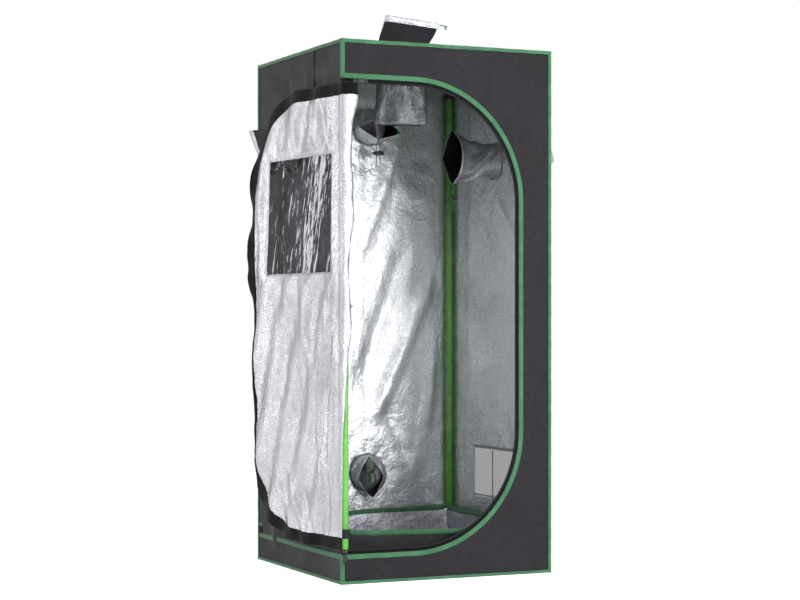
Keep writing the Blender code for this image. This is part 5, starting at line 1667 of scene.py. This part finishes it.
def make_frame():
    """Four posts, eight rails, eight corner pieces and two hanging bars."""
    for end, back in (("front", -1), ("rear", 1)):
        y = back * POST
        for side, right in (("left", -1), ("right", 1)):
            x = right * POST
            make_tube(f"post_{end}_{side}", (x, y, RAIL_LOW + STOP), (x, y, RAIL_HIGH - STOP), joint=True)
            make_corner(f"corner_bottom_{end}_{side}", (x, y, RAIL_LOW), (-right, -back, 1))
            make_corner(f"corner_top_{end}_{side}", (x, y, RAIL_HIGH), (-right, -back, -1))
        make_bar(end, back)
    for level, z in (("bottom", RAIL_LOW), ("top", RAIL_HIGH)):
        for end, back in (("front", -1), ("rear", 1)):
            make_tube(
                f"rail_{level}_{end}", (-POST + STOP, back * POST, z), (POST - STOP, back * POST, z)
            )
        for side, right in (("left", -1), ("right", 1)):
            make_tube(
                f"rail_{level}_{side}", (right * POST, -POST + STOP, z), (right * POST, POST - STOP, z)
            )


make_frame()


TRAY_LINING = silver_look("tray_lining", (200, 200, 208), (0.32, 0.50), 0.0036)
INWARD_X = Vector((-1, 0, 0))
RIB_AT = 0.033


def make_vent():
    """The mesh window low in the right wall, with a rib across it and the stitches above it."""
    left, low, right, high = VENT
    edge = 0.004
    rows = []
    for z in ticks(low - edge, high + edge, (), 0.006):
        row = []
        for y in ticks(left - edge, right + edge, (), 0.006):
            inside = ramp(min(y - left, right - y, z - low, high - z), 0.03)
            row.append((HALF - 0.0014 + 0.0012 * (creases(y, z, 0.05, 3.3) - 0.3) * inside, y, z))
        rows.append(row)
    mesh = piece("vent_mesh_cloth", *grid(rows), MESH, "tent", "grey_mesh", ["vent_mesh"])
    seam = 0.0225
    seams = []
    for y in ticks(left - seam, right + seam, (), 0.012):
        ends = [(HALF - CLOTH + right_lift(y, z), y, z) for z in (high + 0.0045, high + 0.0120)]
        seams.append(stitch_row(ends, INWARD_X, 0.0065, 0.0009, 0.0010))
    piece("vent_stitches", *merge(*seams), STITCH, "tent", "black_cloth")
    path = []
    for z in ticks(low - seam, high - 0.004, (), 0.006):
        inside = ramp(min(z - low, high - z) + 0.002, 0.004)
        x = HALF - CLOTH - 0.0002 + right_lift(RIB_AT, z) * (1 - inside) - 0.0008 * inside
        path.append(((x, RIB_AT, z), (0, 1, 0), INWARD_X))
    cord = (
        (-0.0021, 0.0), (-0.0016, 0.0009), (0.0, 0.0012), (0.0016, 0.0009), (0.0021, 0.0), (0.0, -0.0004)
    )
    solid("vent_rib", sweep(path, cord), STITCH, "tent", "black_cloth")


def make_flap():
    """The flap that hangs outside under the mesh window, with the roll along its sewn edge."""
    left, low, right, _ = VENT
    top = low - FLAP_ROLL
    half = (right - left) / 2 + 0.010
    rows = []
    for step in range(31):
        z = top - FLAP_TALL * step / 30
        row = []
        for index in range(61):
            y = -half + 2 * half * index / 60
            wave = 0.0006 * sin(17 * y + 0.6) * ramp(step, 8)
            wave += 0.0012 * (creases(y, z, 0.06, 7.7) - 0.3) * ramp(step, 3)
            row.append((HALF + FLAP_OFF + min(max(wave, -0.0008), 0.0008), y, z))
        rows.append(row)
    flap = piece("vent_flap_cloth", *grid(rows), [BLACK, SILVER], "flap", "black_cloth", ["vent_flap"])
    thicken(flap, looks=(1, 0))
    length = 2 * half - 0.0006
    ends = [(0.0, 0.0), (FLAP_ROLL - 0.0004, 0.0), (FLAP_ROLL, 0.0005)]
    profile = ends + [(radius, length - height) for radius, height in reversed(ends)]
    roll = turned(profile, along((0, 1, 0), (HALF + 0.0025, -half + 0.0003, top)), 20)
    solid("vent_flap_roll_cloth", roll, BLACK_HEM, "flap", "black_cloth", ["vent_flap"])
    hem = []
    for up, row in ((0.006, rows[29]), (0.010, rows[28])):
        line = [(x + 0.0004, y, top - FLAP_TALL + up) for x, y, _ in row]
        hem.append(stitch_row(line, (1, 0, 0), 0.0028, 0.0012, 0.00034))
    for column in (2, 58):
        line = [(row[column][0] + 0.0004, row[column][1], row[column][2]) for row in rows]
        hem.append(stitch_row(line, (1, 0, 0), 0.0028, 0.0012, 0.00034))
    piece("vent_flap_stitches", *merge(*hem), STITCH, "flap", "black_cloth")


def tray_round():
    """Points round the tray with the way out of it and the share of the round that each has."""
    radius = 0.012
    path = []
    half = TRAY_HALF - radius
    for quarter, (right, back) in enumerate(((1, 1), (-1, 1), (-1, -1), (1, -1))):
        middle = Vector((right * half, back * half, 0))
        for step in range(6):
            share = step / 6
            angle = pi / 2 * (quarter + share)
            out = Vector((cos(angle), sin(angle), 0))
            path.append((middle + out * radius, out, (quarter + 0.25 * share) / 4))
        turn = pi / 2 * (quarter + 1)
        out = Vector((cos(turn), sin(turn), 0))
        way = Vector((-sin(turn), cos(turn), 0))
        start = middle + out * radius
        for step in range(44):
            path.append(
                (start + way * 2 * half * step / 44, out, (quarter + 0.25 + 0.75 * step / 44) / 4)
            )
    return path


def tray_rim(share):
    """The rim's height: it is drawn up where it is tied to two posts, and dips along the rear."""
    height = TRAY_TALL - 0.004 * (1 + cos(8 * pi * share)) / 2
    for at, lift, width in (
        (0.53, 0.012, 0.035), (0.03, 0.009, 0.035), (0.21, -0.010, 0.045), (0.66, -0.005, 0.05)
    ):
        height += lift * hump((share - at + 0.5) % 1 - 0.5, width)
    return height


def tray_bulge(point, out, height):
    """Slack in the tray's walls, which is gone at the floor and the bound rim."""
    run = point.x * abs(out.y) + point.y * abs(out.x)
    rise = ramp(height, 0.03) * ramp(0.13 - height, 0.03)
    soft = 0.0028 * sin(31 * run + 40 * height) * sin(9 * run + 1)
    soft += 0.0030 * (creases(run, height, 0.045, 2 + out.x) - 0.33)
    return (soft - 0.002) * rise


def make_tray():
    """The lift-out floor tray, black outside and grey inside, with its bound rim."""
    path = tray_round()
    rows = []
    for share in (0.03, 0.15, 0.3, 0.45, 0.6, 0.72, 0.82, 0.9, 0.95, 0.985):
        row = []
        for point, _, _ in path:
            spot = point * share
            crease = 0.0016 * max(creases(spot.x, spot.y, 0.11, 5.5) - 0.3, 0) * ramp(1 - share, 0.1)
            row.append(spot + Vector((0, 0, SEAM + 0.0001 + crease)))
        rows.append(row)
    for level in range(15):
        row = []
        for point, out, share in path:
            height = SEAM + (tray_rim(share) - SEAM) * level / 14
            row.append(point + out * tray_bulge(point, out, height) + Vector((0, 0, height)))
        rows.append(row)
    vertices, faces = grid(rows, wrap=True)
    faces.append(tuple(range(len(path))))
    tray = solid(
        "tray_cloth", (vertices, faces), [TRAY_LINING, BLACK], "tray", "black_cloth", ["floor_tray"]
    )
    floor = min(tray.data.polygons, key=lambda face: face.center.length)
    if floor.normal.z < 0:
        tray.data.flip_normals()
    thicken(tray, 0.0010, looks=(1, 1))
    section = (
        (0.0013, -0.0120), (0.0015, -0.0060), (0.0013, 0.0006), (0.0006, 0.0014), (-0.0012, 0.0015),
        (-0.0020, 0.0006), (-0.0024, -0.0060), (-0.0022, -0.0120), (-0.0013, -0.0118),
        (-0.0013, 0.0003), (0.0003, 0.0003), (0.0003, -0.0118),
    )
    rim = []
    seam = []
    for number, (point, out, share) in enumerate(path):
        wander = 0.0006 * noise.noise(Vector((number * 0.3, 4.0, 1.0)))
        top = point + Vector((0, 0, tray_rim(share) + wander))
        rim.append((top, out, (0, 0, 1)))
        seam.append(top + out * 0.0014 - Vector((0, 0, 0.0100)))
    solid(
        "tray_rim_binding", sweep(rim, section, closed=True), GREEN_DARK, "tray", "green_trim",
        ["tray_binding"],
    )
    stitches = []
    for a, b, (_, out, _) in zip(seam, seam[1:] + seam[:1], path):
        stitches.append(stitch_row([a, b], out, (b - a).length * 0.5, 1.0, 0.0003))
    piece(
        "tray_binding_stitches", *merge(*stitches), thread_look("dark_green_thread", (34, 84, 50)),
        "tray", "green_trim",
    )


def make_ties():
    """The strap that ties the tray to the front left post, and the beaded cord at the rear right one."""
    post = Matrix.Translation((-POST, -POST, 0.117))
    tall = 0.024
    band = [(0.01155 + 0.0003 * sin(2 * pi * step / 4), tall * step / 8) for step in range(9)]
    ring = turned([*band, (GRIP, tall), (GRIP, 0.0)], post, 48, closed=True)
    tail_path = []
    for step in range(9):
        point = (0.0108 + 0.0116 * step / 8, 0.0006 * sin(pi * step / 8), tall / 2)
        tail_path.append((point, (0, 1, 0), (0, 0, 1)))
    half = 0.0118
    webbing = (
        (0.0010, -half), (0.0012, -half + 0.001), (0.0010, -0.006), (0.0012, 0.0), (0.0010, 0.006),
        (0.0012, half - 0.001), (0.0010, half), (-0.0010, half), (-0.0012, half - 0.001),
        (-0.0010, 0.0), (-0.0012, -half + 0.001), (-0.0010, -half),
    )
    tail = moved(sweep(tail_path, webbing), post @ Matrix.Rotation(pi / 4, 4, "Z"))
    solid("tray_strap", merge(ring, tail), WEBBING, "tray", "black_cloth", ["tray_strap_front_left"])
    place = Matrix.Translation((POST, POST, 0.122)) @ Matrix.Rotation(-3 * pi / 4, 4, "Z")
    thick = CORD_DIAMETER / 2
    knot = GRIP + thick
    circle = [(knot + thick * cos(2 * pi * i / 12), thick * sin(2 * pi * i / 12)) for i in range(12)]
    rows = []
    for step in range(48):
        turn = place @ Matrix.Rotation(2 * pi * step / 48, 4, "Z")
        rows.append([turn @ Vector((radius, 0, height)) for radius, height in circle])
    rows.append(rows[0])
    solid("tray_cord_ring", grid(rows, wrap=True), CORD, "tray", "green_trim", ["tray_cord_rear_right"])
    reach = 0.02246
    radius = (reach - knot) / 2
    centre = place @ Vector((reach - radius, 0, 0))
    profile = [(radius * sin(pi * i / 14), -radius * cos(pi * i / 14)) for i in range(1, 14)]
    hole = [(0.0013, radius * 0.90), (0.0013, -radius * 0.90)]
    turn = along(place.to_3x3() @ Vector((1, 0, 0)), centre)
    bead = turned([*profile, *hole], turn, 28, closed=True)
    solid("tray_cord_bead", bead, PLASTIC, "tray", "black_plastic", ["tray_cord_rear_right"])


def make_webbing():
    """The tie for the rolled door, the loop at the foot of the rear left corner and two small tabs."""
    top = 1.3915
    path = []
    for step in range(41):
        share = step / 40
        z = top - 0.1165 * share
        out = 0.00115 + 0.0035 * ramp(share - 0.55, 0.45) + 0.0007 * sin(9 * share) * ramp(share, 0.3)
        drift = 0.0012 * sin(5 * share)
        path.append(((-HALF - out, -0.115 + drift, z), (-1, 0, 0), (0, 1, 0)))
    section = (
        (0.0008, -0.0062), (0.0010, -0.0054), (0.0008, -0.0030), (0.0010, 0.0), (0.0008, 0.0030),
        (0.0010, 0.0054), (0.0008, 0.0062), (-0.0008, 0.0062), (-0.0008, -0.0062),
    )
    solid("door_tie_webbing", sweep(path, section), WEBBING, "tent", "black_cloth", ["door_tie_strap"])
    loop = []
    for step in range(31):
        angle = pi * step / 30
        out = Vector((-sin(angle), 0.35 * cos(angle), 0)).normalized()
        point = Vector((-HALF - 0.0003 - 0.0052 * sin(angle), 0.286 + 0.0102 * cos(angle), 0.0865))
        loop.append((point, out, (0, 0, 1)))
    section = (
        (0.0008, -0.0072), (0.0010, -0.0062), (0.0008, 0.0), (0.0010, 0.0062), (0.0008, 0.0072),
        (-0.0006, 0.0072), (-0.0006, -0.0072),
    )
    solid("corner_loop_webbing", sweep(loop, section), WEBBING, "tent", "black_cloth", ["corner_loop"])
    patch = box_part((-HALF - 0.0012, 0.268, 0.0975), (-HALF - 0.0003, 0.2965, 0.1045), 0.0004)
    solid("corner_patch", patch, GREEN, "tent", "green_trim")
    path = []
    for step in range(13):
        share = step / 12
        point = (-POST + 0.0102 + 0.013 * share, -POST - 0.002, 0.7120 + 0.0015 * share)
        path.append((point, (0, 1, 0), (0, 0, 1 - 0.85 * share)))
    section = ((0.0006, -0.011), (0.0007, 0.0), (0.0006, 0.011), (-0.0006, 0.011), (-0.0006, -0.011))
    solid("post_tab", sweep(path, section), SILVER_SOFT, "tent", "silver_cloth")


def plate(name, outlines, thickness, bevel, place, look, body, nodes):
    """A stamped plate from closed outlines, the first its edge and the others its holes."""
    curve = bpy.data.curves.new(name, "CURVE")
    curve.dimensions = "2D"
    curve.fill_mode = "BOTH"
    curve.extrude = thickness / 2 - bevel
    curve.bevel_depth = bevel
    curve.bevel_resolution = 2
    curve.offset = -bevel
    for outline in outlines:
        spline = curve.splines.new("POLY")
        spline.points.add(len(outline) - 1)
        for point, (x, y) in zip(spline.points, outline):
            point.co = (x, y, 0, 1)
        spline.use_cyclic_u = True
    holder = bpy.data.objects.new(f"{name}_outline", curve)
    bpy.context.scene.collection.objects.link(holder)
    bpy.context.view_layer.update()
    mesh = bpy.data.meshes.new_from_object(holder.evaluated_get(bpy.context.evaluated_depsgraph_get()))
    bpy.data.objects.remove(holder, do_unlink=True)
    mesh.transform(place)
    mesh.materials.clear()
    mesh.materials.append(look)
    mesh.shade_smooth()
    mesh.set_sharp_from_angle(angle=CRISP)
    made = bpy.data.objects.new(name, mesh)
    bpy.context.scene.collection.objects.link(made)
    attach(made, body)
    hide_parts(*nodes)


def round_outline(corners, radius):
    """A closed outline with its corners rounded; corners run anticlockwise."""
    points = []
    count = len(corners)
    for i, corner in enumerate(corners):
        corner = Vector(corner)
        before = (Vector(corners[i - 1]) - corner).normalized() * radius
        after = (Vector(corners[(i + 1) % count]) - corner).normalized() * radius
        for step in range(6):
            t = step / 5
            point = corner + before * (1 - t) ** 2 + after * t**2
            points.append((point.x, point.y))
    return points


def make_slider(level, x, z, turn):
    """A zip slider: two plates with flared mouths, a bridge on its face and a pull under the bridge."""
    front = Matrix(((1, 0, 0, 0), (0, 0, -1, 0), (0, 1, 0, 0), (0, 0, 0, 1)))
    base = Matrix.Translation((x, -HALF - 0.0003, z)) @ front
    parts = []
    for low, high in ((0.0, 0.0009), (0.0017, 0.0026)):
        rows = []
        for step in range(17):
            share = step / 16
            along_x = -0.007 + 0.014 * share
            half = 0.0030 + 0.0015 * ramp(abs(share - 0.45), 0.40)
            half -= 0.0012 * ramp(share - 0.9, 0.1) + 0.0010 * ramp(0.06 - share, 0.06)
            ring = [
                (half, low + 0.0002), (half - 0.0003, low), (-half + 0.0003, low), (-half, low + 0.0002)
            ]
            ring += [
                (-half, high - 0.0002), (-half + 0.0003, high), (half - 0.0003, high),
                (half, high - 0.0002),
            ]
            rows.append([Vector((along_x, y, h)) for y, h in ring])
        vertices, faces = grid(rows, wrap=True)
        faces.append(tuple(range(8)))
        faces.append(tuple(range(len(vertices) - 1, len(vertices) - 9, -1)))
        parts.append(moved((vertices, faces), base))
    parts.append(box_part((-0.0042, -0.0012, 0.0006), (0.0012, 0.0012, 0.0020), 0.0004, base))
    turned_base = base @ Matrix.Rotation(turn, 4, "Z")
    arch = 0.0018
    bridge = [((0, arch, 0.0022), (0, 1, 0), (1, 0, 0))]
    for step in range(25):
        angle = pi * step / 24
        out = Vector((0, cos(angle), sin(angle)))
        bridge.append((Vector((0, 0, 0.0043)) + out * arch, out, (1, 0, 0)))
    bridge.append(((0, -arch, 0.0022), (0, -1, 0), (1, 0, 0)))
    section = ((0.0004, -0.0014), (0.0004, 0.0014), (-0.0004, 0.0014), (-0.0004, -0.0014))
    parts.append(moved(sweep(bridge, section), turned_base))
    node = f"zip_slider_{level}"
    sharpen(solid(f"{node}_body", merge(*parts), PLASTIC, f"{level}_slider", "black_plastic", [node]))
    tip = -0.0303
    edge = round_outline([(-0.0043, 0.0007), (-0.0050, tip), (0.0050, tip), (0.0043, 0.0007)], 0.0018)
    slot = round_outline(
        [(-0.0026, -0.0007), (-0.0026, -0.0052), (0.0026, -0.0052), (0.0026, -0.0007)], 0.0006
    )
    eye = [
        (0.0024 * cos(2 * pi * i / 24), tip + 0.0050 + 0.0024 * sin(2 * pi * i / 24)) for i in range(24)
    ]
    seat = turned_base @ Matrix.Translation((0, 0, 0.0043))
    pull = f"zip_pull_{level}"
    plate(
        f"{pull}_plate", [edge, slot, eye], 0.0014, 0.00025, seat, METAL, f"{level}_pull",
        [pull],
    )


make_vent()
make_flap()
make_tray()
make_ties()
make_webbing()
make_slider("top", -0.265, 1.294, pi / 2)
make_slider("bottom", -0.2965, 0.083, 0)


def seen_share(tree):
    """1 for rays from the camera, off gloss or through film, and 0 for the rest."""
    path = add(tree, "LightPath")
    both = maths(tree, "MAXIMUM", path.outputs["Is Camera Ray"], path.outputs["Is Glossy Ray"])
    return maths(tree, "MAXIMUM", both, path.outputs["Is Transmission Ray"])


WORLD_LEVEL = 0.28
FLOOR_GLOW = 0.85
FLOOR_HALF = 7.0
LIGHTS = (
    ("key", (-2.4, -3.4, 3.4), (0, 0, 0.8), (1.6, 1.6), 62),
    ("doorway", (0.75, -3.5, 1.3), (0.05, 0.3, 0.8), (0.9, 2.2), 90),
    ("side", (-3.0, 1.85, 1.3), (-0.3, 0, 0.7), (0.4, 2.4), 14),
)


def make_world():
    """A dim white world that shows as plain white where it is seen."""
    world = bpy.data.worlds.new("studio")
    bpy.context.scene.world = world
    world.use_nodes = True
    tree = world.node_tree
    background = tree.nodes["Background"]
    background.inputs["Color"].default_value = (1, 1, 1, 1)
    strength = maths(tree, "MULTIPLY_ADD", seen_share(tree), 1.0 - WORLD_LEVEL)
    strength.node.inputs[2].default_value = WORLD_LEVEL
    tree.links.new(strength, background.inputs["Strength"])


def make_floor():
    """A plain white floor, which keeps the tent's shadow."""
    corners = ((-1, -1), (1, -1), (1, 1), (-1, 1))
    vertices = [(x * FLOOR_HALF, y * FLOOR_HALF, -0.0005) for x, y in corners]
    mesh = bpy.data.meshes.new("floor")
    mesh.from_pydata(vertices, [], [(0, 1, 2, 3)])
    floor = bpy.data.objects.new("floor", mesh)
    bpy.context.scene.collection.objects.link(floor)
    look = bpy.data.materials.new("floor_paint")
    look.use_nodes = True
    tree = look.node_tree
    wire(
        tree, tree.nodes["Principled BSDF"], Base_Color=(0.9, 0.9, 0.9, 1), Roughness=0.9,
        Specular_IOR_Level=0.0, Emission_Color=(1, 1, 1, 1),
        Emission_Strength=maths(tree, "MULTIPLY", seen_share(tree), FLOOR_GLOW),
    )
    mesh.materials.append(look)


def make_light(name, place, aim, size, watts):
    """A soft square lamp that faces a point."""
    data = bpy.data.lights.new(name, "AREA")
    data.shape = "RECTANGLE"
    data.size, data.size_y = size
    data.energy = watts
    light = bpy.data.objects.new(name, data)
    light.location = place
    light.rotation_euler = (Vector(aim) - Vector(place)).to_track_quat("-Z", "Y").to_euler()
    bpy.context.scene.collection.objects.link(light)


bpy.context.scene.view_settings.view_transform = "Standard"
make_world()
make_floor()
for light in LIGHTS:
    make_light(*light)
